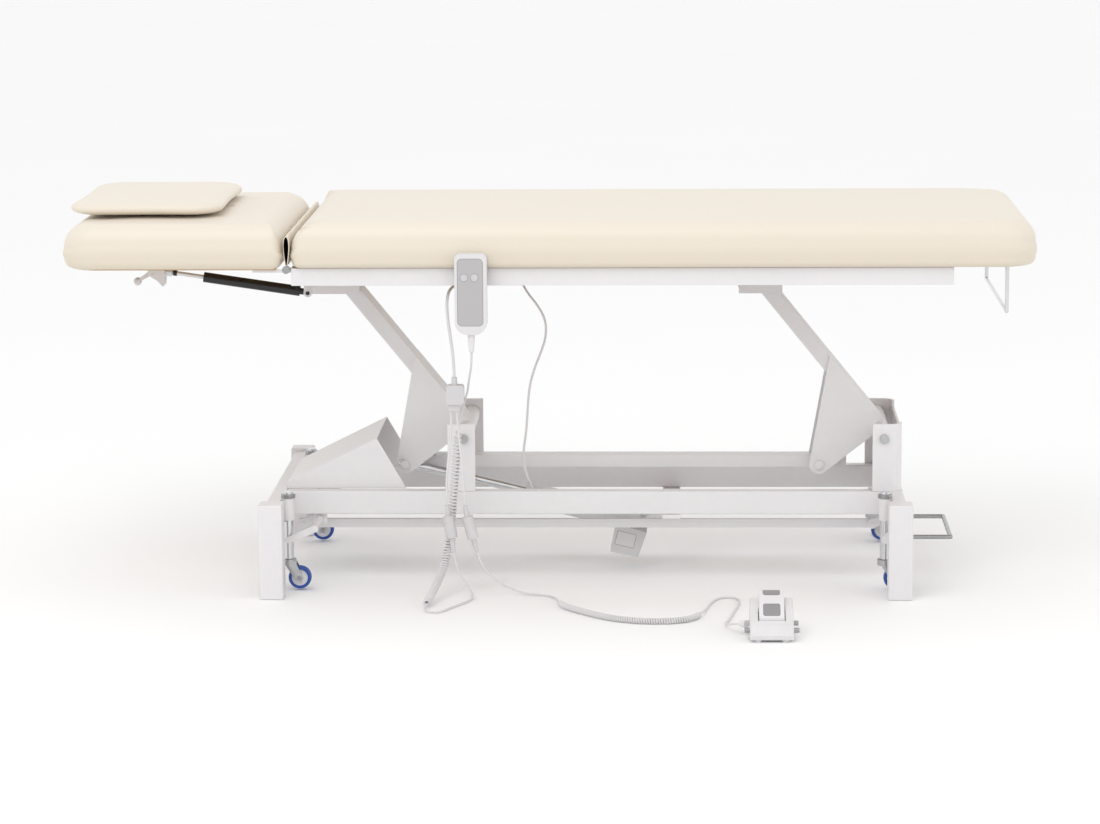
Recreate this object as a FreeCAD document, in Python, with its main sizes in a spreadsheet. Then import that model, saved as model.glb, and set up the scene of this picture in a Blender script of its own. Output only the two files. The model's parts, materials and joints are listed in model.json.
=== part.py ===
import FreeCAD, Part
import math
import os
from types import SimpleNamespace
import Sketcher

# Height-adjustable massage table: a steel base with two parallel lift arms, a padded top on a tube
# frame, a tilting head section on a gas spring, castors lowered by a pedal, handset and foot switch.
# X runs from the head end to the foot end, Y from the handset's side to the far side, Z up.
# The origin is on the floor, under the middle of the whole object.

V = FreeCAD.Vector
doc = FreeCAD.newDocument("massage_table")
sheet = doc.addObject("Spreadsheet::Sheet", "Sheet")

# Driving sizes, in millimetres and degrees
SIZES = {
    "centre_y": 187, "play": 0.3, "wall": 2.5, "plate": 5,
    "base_left": -600, "base_length": 1350, "leg_side": 50, "leg_height": 200, "leg_track": 652,
    "rail_wide": 30, "rail_tall": 50, "rail_under": 144, "rail_gauge": 330,
    "end_tube_wide": 30, "end_tube_inset": 10,
    "post_left": -218, "post_wide": 58, "post_top": 337, "pivot_left": -184, "pivot_high": 306,
    "arm_spacing": 883, "arm_angle": 51, "arm_length": 412, "arm_wide": 80, "arm_deep": 30,
    "hub_radius": 17, "axle_radius": 8, "pin_across": 132, "pin_down": 77, "pin_radius": 6,
    "plate_top_run": 193, "tie_wide": 45, "tie_tall": 25, "tie_past": 60,
    "actuator_rear_x": 208, "actuator_rear_z": 104, "actuator_side": 25, "actuator_tilt": 13.42,
    "actuator_length": 538.7, "eye_wide": 24, "outer_tube_wide": 34, "outer_tube_tall": 46,
    "outer_tube_end": 276, "inner_rod_radius": 9, "motor_long": 68, "motor_deep": 62, "motor_wide": 62,
    "top_left": -526, "top_length": 1356, "axle_under_top": 24.8, "top_tall": 36, "top_tube_wide": 35,
    "top_width": 616, "cross_tube_deep": 30, "board_thick": 12, "board_inset": 12,
    "pad_left": -525, "pad_length": 1525, "pad_overhang": 17, "pad_thick": 99, "pad_corner": 75,
    "pad_edge": 30, "pad_hinge_edge": 58, "channel_long": 92, "channel_drop": 53,
    "head_left": -1000, "head_length": 455, "head_rise": 33, "head_thick": 98,
    "hinge_x": -536, "hinge_rise": 33, "gas_x": -523, "gas_drop": 56, "gas_tilt": 8.45,
    "gas_tube_radius": 11, "gas_rod_radius": 4.5, "gas_length": 306, "gas_tube_long": 208,
    "lever_x": -852, "lever_drop": 17, "pillow_length": 320, "pillow_width": 460, "pillow_thick": 32,
    "pillow_corner": 70, "stem_inset": 53, "stem_track": 500, "stem_radius": 10,
    "stem_foot": 67, "sleeve_radius": 12.5, "sleeve_tall": 46, "wheel_radius": 24, "wheel_wide": 20,
    "wheel_trail": 22, "wheel_lift": 3.5, "left_shaft_inset": 110, "right_shaft_inset": 33, "shaft_high": 134,
    "shaft_radius": 6, "crank_across": 40, "crank_down": 17, "link_tall": 19, "link_side": 120,
    "pedal_radius": 4.75, "pedal_wide": 220, "pedal_reach": 132, "pedal_drop": 49,
    "handset_left": -188, "handset_wide": 66, "handset_drop": 96, "handset_tall": 166,
    "handset_thick": 25, "handset_gap": 19, "foot_x": 452, "foot_wide": 86, "foot_front": 725,
    "foot_deep": 118, "foot_low": 34, "foot_high": 70, "holder_x": 943, "holder_drop": 100,
    "holder_track": 500, "holder_radius": 4, "trunk_radius": 3.2, "cable_radius": 2.4, "lead_radius": 2.5,
    "coil_radius": 9, "foot_coil_radius": 6.7, "splitter_wide": 37, "splitter_tall": 40,
    "splitter_deep": 24,
}
for row, (alias, number) in enumerate(SIZES.items(), start=1):
    sheet.set(f"A{row}", alias)
    sheet.set(f"B{row}", str(number))
    sheet.setAlias(f"B{row}", alias)
doc.recompute()


class Size:
    """A number that carries the sheet expression it comes from."""

    def __init__(self, number, text):
        self.number = number
        self.text = text

    def __add__(self, other):
        other = size(other)
        return Size(self.number + other.number, f"({self.text} + {other.text})")

    def __sub__(self, other):
        other = size(other)
        return Size(self.number - other.number, f"({self.text} - {other.text})")

    def __mul__(self, other):
        other = size(other)
        return Size(self.number * other.number, f"({self.text} * {other.text})")

    def __truediv__(self, other):
        other = size(other)
        return Size(self.number / other.number, f"({self.text} / {other.text})")

    def __rsub__(self, other):
        return size(other) - self

    def __neg__(self):
        return self * -1

    __radd__ = __add__
    __rmul__ = __mul__


def size(item):
    """Any number as a Size."""
    if isinstance(item, Size):
        return item
    return Size(float(item), f"{float(item):.6f}")


def sine(angle):
    """Sine of an angle in degrees, tied to the sheet."""
    return Size(math.sin(math.radians(angle.number)), f"sin({angle.text})")


def cosine(angle):
    """Cosine of an angle in degrees, tied to the sheet."""
    return Size(math.cos(math.radians(angle.number)), f"cos({angle.text})")


s = SimpleNamespace(**{name: Size(float(number), "Sheet." + name) for name, number in SIZES.items()})
parts = []


def tie(item, prop, amount):
    """Bind one property to the expression of a size."""
    amount = size(amount)
    item.setExpression(prop, amount.text)


def place(item, x, y, z):
    """Put an object's own origin at a point given by sizes."""
    for letter, amount in zip("xyz", (x, y, z)):
        tie(item, "Placement.Base." + letter, amount)


def keep(item, label):
    """Name a finished sub-part and remember it for writing."""
    item.Label = label
    parts.append(item)
    return item


def block(x, y, z, long, deep, tall):
    """Box from its lowest corner."""
    item = doc.addObject("Part::Box", "Block")
    tie(item, "Length", long)
    tie(item, "Width", deep)
    tie(item, "Height", tall)
    place(item, x, y, z)
    return item


def cone(first, last, radius, end_radius):
    """Tapered or straight round bar between two points, with y counted from the centre line."""
    start = V(first[0], SIZES["centre_y"] + first[1], first[2])
    step = V(last[0], SIZES["centre_y"] + last[1], last[2]) - start
    same = radius == end_radius
    item = doc.addObject("Part::Cylinder" if same else "Part::Cone", "Taper")
    if same:
        item.Radius = radius
    else:
        item.Radius1 = radius
        item.Radius2 = end_radius
    item.Height = step.Length
    item.Placement = FreeCAD.Placement(start, FreeCAD.Rotation(V(0, 0, 1), step))
    return item


TURNS = {"x": FreeCAD.Rotation(V(0, 1, 0), 90), "y": FreeCAD.Rotation(V(1, 0, 0), -90), "z": FreeCAD.Rotation()}


def rod(axis, x, y, z, radius, long):
    """Round bar from the centre of its first face, along +X, +Y or +Z."""
    item = doc.addObject("Part::Cylinder", "Rod")
    tie(item, "Radius", radius)
    tie(item, "Height", long)
    item.Placement = FreeCAD.Placement(V(), TURNS[axis])
    place(item, x, y, z)
    return item


def minus(base, *tools):
    """What is left of a solid after other solids are taken from it."""
    for tool in tools:
        cut = doc.addObject("Part::Cut", "Cut")
        cut.Base = base
        cut.Tool = tool
        base = cut
    return base


def joined(*items):
    """Welded union of solids that touch or overlap."""
    item = doc.addObject("Part::MultiFuse", "Weld")
    item.Shapes = list(items)
    return item


def group(*items):
    """Separate solids kept together as one sub-part."""
    item = doc.addObject("Part::Compound", "Group")
    item.Links = list(items)
    return item


def tube(axis, x, y, z, long, deep, tall):
    """Closed rectangular tube: a box hollowed by the wall, and by the plate thickness at its ends."""
    ends = {letter: (s.wall if letter != axis else s.plate) for letter in "xyz"}
    hollow = block(x + ends["x"], y + ends["y"], z + ends["z"],
                   long - 2 * ends["x"], deep - 2 * ends["y"], tall - 2 * ends["z"])
    return minus(block(x, y, z, long, deep, tall), hollow)


def new_body(x=0, y=0, z=0):
    """Empty body with its origin at a point."""
    body = doc.addObject("PartDesign::Body", "Body")
    place(body, x, y, z)
    return body


def sketch_on(body, role, level=0):
    """Sketch on an origin plane of the body, moved along +X, +Y or +Z by the level."""
    sketch = body.newObject("Sketcher::SketchObject", "Sketch")
    plane = next(item for item in body.Origin.OriginFeatures if item.Role == role)
    sketch.AttachmentSupport = [(plane, "")]
    sketch.MapMode = "FlatFace"
    along = -size(level) if role == "XZ_Plane" else size(level)
    tie(sketch, "AttachmentOffset.Base.z", along)
    return sketch


def pin_point(sketch, item, end, x, y):
    """Hold one sketch point at coordinates given by sizes."""
    for kind, amount, axis in (("DistanceX", x, -2), ("DistanceY", y, -1)):
        amount = size(amount)
        if abs(amount.number) < 1e-9:
            sketch.addConstraint(Sketcher.Constraint("PointOnObject", item, end, axis))
            continue
        number = sketch.addConstraint(Sketcher.Constraint(kind, -1, 1, item, end, amount.number))
        sketch.setExpression(f"Constraints[{number}]", amount.text)


def polygon(sketch, points):
    """Closed outline of straight lines through the points."""
    first = sketch.GeometryCount
    count = len(points)
    corners = [V(size(x).number, size(y).number, 0) for x, y in points]
    for n in range(count):
        sketch.addGeometry(Part.LineSegment(corners[n], corners[(n + 1) % count]), False)
    for n in range(count):
        sketch.addConstraint(Sketcher.Constraint("Coincident", first + n, 2, first + (n + 1) % count, 1))
    for n, (x, y) in enumerate(points):
        pin_point(sketch, first + n, 1, x, y)
    return sketch


def circle(sketch, x, y, radius):
    """Circle at a point."""
    item = sketch.GeometryCount
    centre = V(size(x).number, size(y).number, 0)
    sketch.addGeometry(Part.Circle(centre, V(0, 0, 1), size(radius).number), False)
    pin_point(sketch, item, 3, x, y)
    number = sketch.addConstraint(Sketcher.Constraint("Radius", item, size(radius).number))
    sketch.setExpression(f"Constraints[{number}]", size(radius).text)
    return sketch


def extrude(body, kind, sketch, thick):
    """Pad or pocket of a sketch, half of the thickness on each side of its plane."""
    feature = body.newObject("PartDesign::" + kind, kind)
    feature.Profile = sketch
    feature.SideType = "Symmetric"
    tie(feature, "Length", thick)
    body.Tip = feature
    doc.recompute()
    return feature


def pad(body, sketch, thick):
    return extrude(body, "Pad", sketch, thick)


def pocket(body, sketch, thick):
    return extrude(body, "Pocket", sketch, thick)


def round_edges(body, radius, chosen):
    """Fillet on the edges of the body that the test picks out."""
    base = body.Tip
    names = [f"Edge{n}" for n, edge in enumerate(base.Shape.Edges, start=1) if chosen(edge)]
    fillet = body.newObject("PartDesign::Fillet", "Fillet")
    fillet.Base = (base, names)
    tie(fillet, "Radius", radius)
    body.Tip = fillet
    doc.recompute()
    return fillet


def runs(edge, axis):
    """True for a straight edge along an axis of the body."""
    if edge.Curve.TypeId != "Part::GeomLine":
        return False
    step = edge.Vertexes[-1].Point - edge.Vertexes[0].Point
    return abs(getattr(step, axis)) > 0.999 * step.Length


def at_level(edge, axis, level, near=0.01):
    """True for an edge that lies wholly at one coordinate."""
    box = edge.BoundBox
    low, high = getattr(box, axis.upper() + "Min"), getattr(box, axis.upper() + "Max")
    return abs(low - level.number) < near and abs(high - level.number) < near


mid = s.centre_y

# The top stands on the upper arm axles, so its heights follow the arms, and the padding its width
s.top_under = s.pivot_high + s.arm_length * sine(s.arm_angle) + s.axle_under_top
s.channel_under = s.top_under - s.channel_drop
s.head_under = s.top_under + s.head_rise
s.hinge_z = s.top_under + s.hinge_rise
s.gas_z = s.top_under - s.gas_drop
s.lever_z = s.top_under - s.lever_drop
s.handset_under = s.top_under - s.handset_drop
s.pad_width = s.top_width + 2 * s.pad_overhang

# The castors and their shafts keep their distances from the ends of the base
s.stem_left = s.base_left + s.stem_inset
s.stem_right = s.base_left + s.base_length - s.stem_inset
s.shaft_left = s.base_left + s.left_shaft_inset
s.shaft_right = s.base_left + s.base_length - s.right_shaft_inset


# Base: two long rails between two end frames
def base_frame():
    for label, side in (("near_rail", -1), ("far_rail", 1)):
        outer = mid + side * s.rail_gauge / 2
        y = outer if side < 0 else outer - s.rail_wide
        x = s.base_left + s.end_tube_inset + s.end_tube_wide
        long = s.base_length - 2 * (s.end_tube_inset + s.end_tube_wide)
        keep(tube("x", x, y, s.rail_under, long, s.rail_wide, s.rail_tall), label)
    span = s.leg_track - s.leg_side
    for label, left, inset in (("left_end_frame", s.base_left, s.end_tube_inset),
                               ("right_end_frame", s.base_left + s.base_length - s.leg_side,
                                s.leg_side - s.end_tube_inset - s.end_tube_wide)):
        legs = [tube("z", left, mid + side * s.leg_track / 2 - s.leg_side / 2, 0,
                     s.leg_side, s.leg_side, s.leg_height) for side in (-1, 1)]
        cross = tube("y", left + inset, mid - span / 2, s.rail_under,
                     s.end_tube_wide, span, s.rail_tall)
        keep(group(*legs, cross), label)


# Posts: flat ears that carry the arm axles, the right pair bent from one sheet with its end plate
def posts():
    rail_top = s.rail_under + s.rail_tall
    tall = s.post_top - rail_top
    bore = s.axle_radius + 0.05
    ears = []
    for side in (-1, 1):
        face = mid + side * s.rail_gauge / 2
        y = face if side < 0 else face - s.plate
        ear = block(s.post_left, y, rail_top, s.post_wide, s.plate, tall)
        ears.append(minus(ear, rod("y", s.pivot_left, y - 1, s.pivot_high, bore, s.plate + 2)))
    keep(group(*ears), "left_post")
    lean = s.arm_spacing + 10
    body = new_body(s.post_left, mid, rail_top)
    outer = s.post_wide + 4
    half = s.rail_gauge / 2
    pad(body, polygon(sketch_on(body, "XY_Plane", tall / 2),
                      [(lean, -half), (lean + outer, -half), (lean + outer, half), (lean, half)]), tall)
    corner = lean + outer
    round_edges(body, 22, lambda e: runs(e, "z") and abs(e.BoundBox.XMax - corner.number) < 0.01)
    inner = half - s.plate
    inside = sketch_on(body, "XY_Plane", tall / 2)
    back = lean + outer - s.plate
    polygon(inside, [(lean - 1, -inner), (back - 17, -inner), (back - 5, -inner + 5), (back, -inner + 17),
                     (back, inner - 17), (back - 5, inner - 5), (back - 17, inner), (lean - 1, inner)])
    pocket(body, inside, tall + 2)
    shelf = sketch_on(body, "XZ_Plane", 0)
    polygon(shelf, [(lean + outer - 22, tall - 14), (lean + outer + 1, tall - 14),
                    (lean + outer + 1, tall + 1), (lean + outer - 22, tall + 1)])
    pocket(body, shelf, s.rail_gauge - 60)
    across = s.pivot_left + s.arm_spacing - s.post_left
    pocket(body, circle(sketch_on(body, "XZ_Plane", 0), across, s.pivot_high - rail_top, bore),
           s.rail_gauge + 2)
    keep(body, "right_post")


# Wedge cover: bent sheet over the left end of the base, open towards the lift arm
def wedge_cover():
    rail_top = s.rail_under + s.rail_tall
    inner = s.rail_gauge - 2 * s.rail_wide - 2 * s.play
    body = new_body(s.base_left + s.end_tube_inset + s.end_tube_wide + s.play, mid, rail_top)
    ridge_x, ridge_z, foot_x = 190, 108, 252
    skin = 1.5
    outline = [(0, 0), (0, 14), (ridge_x, ridge_z), (foot_x, 0)]
    pad(body, polygon(sketch_on(body, "XZ_Plane"), outline), inner)
    hollow = [(skin, -1), (skin, 13), (ridge_x - skin, ridge_z - skin), (ridge_x + 62, ridge_z),
              (foot_x + 62, 0), (foot_x + 62, -1)]
    pocket(body, polygon(sketch_on(body, "XZ_Plane"), hollow), inner - 2 * skin)
    keep(body, "wedge_cover")


# Actuator bar: flat cross bar under the rails with two lugs round the actuator's rear pin
def actuator_bar():
    left, wide, thick = 234, 38, 9
    under = s.rail_under - thick
    bar = block(left, mid - s.rail_gauge / 2, under, wide, s.rail_gauge, thick)
    pieces = [bar]
    axis_y = mid - s.actuator_side
    bore = s.pin_radius + 0.05
    for side in (-1, 1):
        body = new_body(0, axis_y + side * (s.eye_wide / 2 + 1 + s.plate / 2), 0)
        x, z = s.actuator_rear_x, s.actuator_rear_z
        polygon_points = [(x - 13, z + 3), (x + 9, z - 10), (left + wide, under), (left + wide, under + 0.5),
                          (left, under + 0.5)]
        pad(body, polygon(sketch_on(body, "XZ_Plane"), polygon_points), s.plate)
        pad(body, circle(sketch_on(body, "XZ_Plane"), x, z, 13.5), s.plate)
        pocket(body, circle(sketch_on(body, "XZ_Plane"), x, z, bore), s.plate + 2)
        pieces.append(body)
    keep(joined(*pieces), "actuator_bar")


# Arm axles: long bolts through the post ears and the hubs, each with a head and a nut
def pivot_axles():
    bolts = []
    for x in (s.pivot_left, s.pivot_left + s.arm_spacing):
        start = mid - s.rail_gauge / 2
        shank = rod("y", x, start - 7, s.pivot_high, s.axle_radius, s.rail_gauge + 14)
        head = rod("y", x, start - 7, s.pivot_high, 9.5, 7 - s.play)
        nut = doc.addObject("Part::Prism", "Nut")
        nut.Polygon = 6
        nut.Circumradius = 12
        nut.Height = 8
        nut.Placement = FreeCAD.Placement(V(), TURNS["y"])
        place(nut, x, start + s.rail_gauge + s.play, s.pivot_high)
        bolts.append(joined(shank, head, nut))
    keep(group(*bolts), "pivot_axles")


# Castor carriers: four welded sleeves with hexagon bushes that guide the stems, and four lugs that
# hold the cross shafts
def castor_carriers():
    solids = []
    sleeve_top = s.rail_under + s.rail_tall + 2
    for x in (s.stem_left, s.stem_right):
        for side in (-1, 1):
            y = mid + side * s.stem_track / 2
            outer = rod("z", x, y, sleeve_top - s.sleeve_tall, s.sleeve_radius, s.sleeve_tall)
            bush = doc.addObject("Part::Prism", "Bush")
            bush.Polygon = 6
            bush.Circumradius = 15
            bush.Height = 9
            place(bush, x, y, sleeve_top)
            bore = rod("z", x, y, sleeve_top - s.sleeve_tall - 1, s.stem_radius + 0.05, s.sleeve_tall + 11)
            solids.append(minus(joined(outer, bush), bore))
    for x in (s.shaft_left, s.shaft_right):
        for side in (-1, 1):
            y = mid + side * (s.rail_gauge / 2 - s.rail_wide / 2) - s.plate / 2
            lug = block(x - 14, y, s.shaft_high - 12, 28, s.plate, s.rail_under - s.shaft_high + 12)
            bore = rod("y", x, y - 1, s.shaft_high, s.shaft_radius + 0.05, s.plate + 2)
            solids.append(minus(lug, bore))
    keep(group(*solids), "castor_carriers")


base_frame()
posts()
wedge_cover()
actuator_bar()
pivot_axles()
castor_carriers()


# Lift arms: a tube, two bell-crank plates and a hub welded into one piece, with its lower pin
def lift_arm(label, pivot_x, left):
    body = new_body(pivot_x, mid, s.pivot_high)
    c, n = cosine(s.arm_angle), sine(s.arm_angle)
    half = s.arm_deep / 2
    past = 18

    def along(distance, off):
        """Point at a distance up the arm from its pivot, and off its centre line to the upper right."""
        return (-distance * c + off * n, distance * n + off * c)

    end = s.arm_length + past
    pad(body, polygon(sketch_on(body, "XZ_Plane"),
                      [along(size(0), -half), along(end, -half), along(end, half), along(size(0), half)]),
        s.arm_wide)
    inside = half - s.wall
    pocket(body, polygon(sketch_on(body, "XZ_Plane"),
                         [along(size(30), -inside), along(end - s.arm_deep - 12, -inside),
                          along(end - s.arm_deep - 12, inside), along(size(30), inside)]),
           s.arm_wide - 2 * s.wall)
    corner = along(s.plate_top_run, half)
    for side in (-1, 1):
        level = side * (s.arm_wide / 2 + s.plate / 2)
        plate = sketch_on(body, "XZ_Plane", level)
        polygon(plate, [corner, along(size(0), half), (0, 0), (-s.pin_across + 13, -s.pin_down - 16),
                        (-s.pin_across - 19.5, -s.pin_down + 4)])
        pad(body, plate, s.plate)
        pad(body, circle(sketch_on(body, "XZ_Plane", level), -s.pin_across, -s.pin_down, 20.5), s.plate)
    hub_long = s.rail_gauge - 2 * s.plate - 2
    pad(body, circle(sketch_on(body, "XZ_Plane"), 0, 0, s.hub_radius), hub_long)
    pocket(body, circle(sketch_on(body, "XZ_Plane"), 0, 0, s.axle_radius + 0.05), hub_long + 2)
    top = along(s.arm_length, size(0))
    pocket(body, circle(sketch_on(body, "XZ_Plane"), top[0], top[1], s.axle_radius + 0.05), s.arm_wide + 2)
    pin_bore = s.pin_radius + 0.05
    pocket(body, circle(sketch_on(body, "XZ_Plane"), -s.pin_across, -s.pin_down, pin_bore),
           s.arm_wide + 4 * s.plate)
    x, z = pivot_x - s.pin_across, s.pivot_high - s.pin_down
    outside = s.arm_wide / 2 + s.plate
    near = mid - outside
    head = rod("y", x, near - 6, z, s.pin_radius + 3, 6 - s.play)
    if left:
        stub = joined(rod("y", x, near - 6, z, s.pin_radius, s.plate + 6.5), head)
        clip = doc.addObject("Part::Torus", "Clip")
        clip.Radius1 = 8
        clip.Radius2 = 1.4
        clip.Placement = FreeCAD.Placement(V(), TURNS["y"])
        place(clip, x - 7, near - 4, z + 8)
        rest = rod("y", x, mid + s.tie_side - 0.5, z, s.pin_radius, s.tie_wide + s.plate + 7)
        solids = [joined(stub, clip), rest]
    else:
        solids = [joined(rod("y", x, near - 6, z, s.pin_radius, 2 * outside + 12), head)]
    keep(group(body, *solids), label)


s.tie_side = s.arm_wide / 2 - s.tie_wide - 1
lift_arm("left_lift_arm", s.pivot_left, True)
lift_arm("right_lift_arm", s.pivot_left + s.arm_spacing, False)


# Tie bar: tube between the lower pins, running a little past the right one
def tie_bar():
    z = s.pivot_high - s.pin_down
    x = s.pivot_left - s.pin_across
    long = s.arm_spacing + s.tie_past + 16
    hollow_from, hollow_to = 16, s.arm_spacing + s.tie_past
    outer = block(x - 16, mid + s.tie_side, z - s.tie_tall / 2, long, s.tie_wide, s.tie_tall)
    inner = block(x - 16 + s.plate, mid + s.tie_side + s.wall, z - s.tie_tall / 2 + s.wall,
                  long - 2 * s.plate, s.tie_wide - 2 * s.wall, s.tie_tall - 2 * s.wall)
    bores = [rod("y", x + step, mid + s.tie_side - 1, z, s.pin_radius + 0.05, s.tie_wide + 2)
             for step in (size(0), s.arm_spacing)]
    keep(minus(outer, inner, *bores), "tie_bar")


tie_bar()


# Actuator, drawn along its own axis from the rear pin: u towards the front eye, v down from the axis
def actuator():
    c, n = cosine(s.actuator_tilt), sine(s.actuator_tilt)
    y = mid - s.actuator_side

    def at(u, v):
        return (-u * c - v * n, u * n - v * c)

    body = new_body(s.actuator_rear_x, y, s.actuator_rear_z)

    def slab(u0, u1, v0, v1, wide):
        corners = [at(size(u0), size(v0)), at(size(u1), size(v0)), at(size(u1), size(v1)), at(size(u0), size(v1))]
        return pad(body, polygon(sketch_on(body, "XZ_Plane"), corners), wide)

    pad(body, circle(sketch_on(body, "XZ_Plane"), 0, 0, 11), s.eye_wide)
    slab(4, 30, -9, 9, s.eye_wide)
    slab(24, 96, -19, 22, s.outer_tube_wide + 6)
    under = s.outer_tube_tall - 17
    slab(90, s.outer_tube_end, -17, under, s.outer_tube_wide)
    round_edges(body, 6, lambda e: e.Length > 150
                and -(e.CenterOfMass.x * n.number + e.CenterOfMass.z * c.number) > 20)
    motor = [at(size(3), size(20)), at(size(3) + s.motor_long, size(17)),
             at(s.motor_long + 1, 17 + s.motor_deep), at(size(9), 15 + s.motor_deep)]
    pad(body, polygon(sketch_on(body, "XZ_Plane", -12), motor), s.motor_wide)
    pocket(body, circle(sketch_on(body, "XZ_Plane"), 0, 0, s.pin_radius + 0.05), s.eye_wide + 2)
    front = sketch_on(body, "XZ_Plane")
    bore_from, bore_to = s.outer_tube_end - 228, s.outer_tube_end + 1
    gap = s.inner_rod_radius + 0.6
    polygon(front, [at(bore_from, -gap), at(bore_to, -gap), at(bore_to, gap), at(bore_from, gap)])
    pocket(body, front, 2 * gap)
    pin_long = s.eye_wide + 2 * (s.plate + 1) + 10
    pin = rod("y", s.actuator_rear_x, y - pin_long / 2, s.actuator_rear_z, s.pin_radius - 0.05, pin_long)
    gland = cone((-38, -41, 172), (-38, -58, 172), 7, 4)
    keep(group(joined(body, gland), pin), "actuator_body")

    turn = FreeCAD.Rotation(V(0, -1, 0), 180 - SIZES["actuator_tilt"])
    start = s.outer_tube_end - 140
    bar = doc.addObject("Part::Cylinder", "InnerRod")
    tie(bar, "Radius", s.inner_rod_radius)
    tie(bar, "Height", s.actuator_length - start - 8)
    bar.Placement = FreeCAD.Placement(V(), turn * FreeCAD.Rotation(V(0, 1, 0), 90))
    away = at(start, size(0))
    place(bar, s.actuator_rear_x + away[0], y, s.actuator_rear_z + away[1])
    tip = at(s.actuator_length, size(0))
    x, z = s.actuator_rear_x + tip[0], s.actuator_rear_z + tip[1]
    eye = rod("y", x, y - s.eye_wide / 2, z, 11, s.eye_wide)
    hole = rod("y", x, y - s.eye_wide / 2 - 1, z, s.pin_radius, s.eye_wide + 2)
    keep(minus(joined(bar, eye), hole), "actuator_rod")


actuator()


# Top frame: side rails, cross tubes and ears welded into one piece
def top_frame():
    top = s.top_under + s.top_tall
    inner = s.top_width - 2 * s.top_tube_wide
    pieces = [tube("x", s.top_left, mid + side * (s.top_width - s.top_tube_wide) / 2 - s.top_tube_wide / 2,
                   s.top_under, s.top_length, s.top_tube_wide, s.top_tall) for side in (-1, 1)]
    cross_z = top - s.cross_tube_deep
    right = s.top_left + s.top_length
    arm_top = s.arm_length * cosine(s.arm_angle)
    left_pin = s.pivot_left - arm_top
    right_pin = left_pin + s.arm_spacing
    for x, wide in ((s.top_left, size(30)), (left_pin + 26, size(20)), (right_pin - 46, size(20)),
                    (right_pin + 26, size(20)), (right - s.top_tube_wide, s.top_tube_wide)):
        pieces.append(tube("y", x, mid - inner / 2, cross_z, wide, inner, s.cross_tube_deep))
    for side in (-1, 1):
        y = mid + side * (s.top_width / 2 - 12) - 2
        ear = joined(block(s.hinge_x, y, s.hinge_z - 7, 24, 4, 10.4), rod("y", s.hinge_x, y, s.hinge_z, 7, 4))
        pieces.append(minus(ear, rod("y", s.hinge_x, y - 1, s.hinge_z, 3.05, 6)))
    hook_deep = s.handset_gap - 2 * s.play
    pieces.append(block(s.handset_left + 18, mid - s.top_width / 2 - hook_deep, s.top_under + 5,
                        s.handset_wide - 36, hook_deep, 24))
    keep(group(*pieces), "top_frame")

    solids = []
    for x, reach in ((left_pin - 66, s.channel_long + 8), (right_pin - 44, s.channel_long)):
        for side in (-1, 1):
            y = mid + side * (s.arm_wide / 2 + s.plate + 1) + (-4 if side < 0 else 0)
            ear = block(x, y, s.channel_under, reach, 4, cross_z - s.channel_under)
            axle_x = left_pin if x.number < 0 else right_pin
            axle_z = s.pivot_high + s.arm_length * sine(s.arm_angle)
            solids.append(minus(ear, rod("y", axle_x, y - 1, axle_z, s.axle_radius + 0.05, 6)))
    for x in (left_pin, right_pin):
        axle_z = s.pivot_high + s.arm_length * sine(s.arm_angle)
        reach = s.arm_wide / 2 + s.plate + 9
        solids.append(rod("y", x, mid - reach, axle_z, s.axle_radius, 2 * reach))
    for side in (-1, 1):
        y = mid + side * (s.gas_tube_radius + 3) - 2
        body = new_body(s.gas_x, y + 2, s.gas_z)
        pad(body, polygon(sketch_on(body, "XZ_Plane"),
                          [(-9, 0), (9, 0), (14, cross_z - s.gas_z), (-3, cross_z - s.gas_z)]), 4)
        pad(body, circle(sketch_on(body, "XZ_Plane"), 0, 0, 9), 4)
        pocket(body, circle(sketch_on(body, "XZ_Plane"), 0, 0, 4.05), 6)
        solids.append(body)
    keep(group(*solids), "pivot_channels")


top_frame()


# Padding: a board with a soft pad wrapped round it, its hinge end rounded more than the rest
def padded_section(board_label, pad_label, left, long, under, thick, hinge_at_left):
    half = s.pad_width / 2
    right = left + long
    inset = s.board_inset
    free_end = long if hinge_at_left else size(0)
    hinge_end = size(0) if hinge_at_left else long

    def board_shape(shrink, tall):
        board = new_body(left, mid, under)
        low, high, side = shrink, long - shrink, half - shrink
        pad(board, polygon(sketch_on(board, "XY_Plane", tall / 2),
                           [(low, -side), (high, -side), (high, side), (low, side)]), tall)
        end = high if hinge_at_left else low
        round_edges(board, s.pad_corner - inset, lambda e: runs(e, "z") and at_level(e, "x", end))
        return board

    keep(board_shape(inset, s.board_thick), board_label)
    body = new_body(left, mid, under)
    pad(body, polygon(sketch_on(body, "XY_Plane", thick / 2),
                      [(0, -half), (long, -half), (long, half), (0, half)]), thick)
    round_edges(body, s.pad_corner, lambda e: runs(e, "z") and at_level(e, "x", free_end))
    round_edges(body, s.pad_hinge_edge, lambda e: runs(e, "y") and at_level(e, "x", hinge_end)
                and at_level(e, "z", thick))
    round_edges(body, s.pad_edge, lambda e: runs(e, "x") and at_level(e, "z", thick))
    keep(minus(body, board_shape(inset - s.play, s.board_thick + s.play)), pad_label)


padded_section("main_board", "main_cushion", s.pad_left, s.pad_length, s.top_under + s.top_tall + 1,
               s.pad_thick, True)
padded_section("head_board", "head_cushion", s.head_left, s.head_length, s.head_under, s.head_thick, False)


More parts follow.
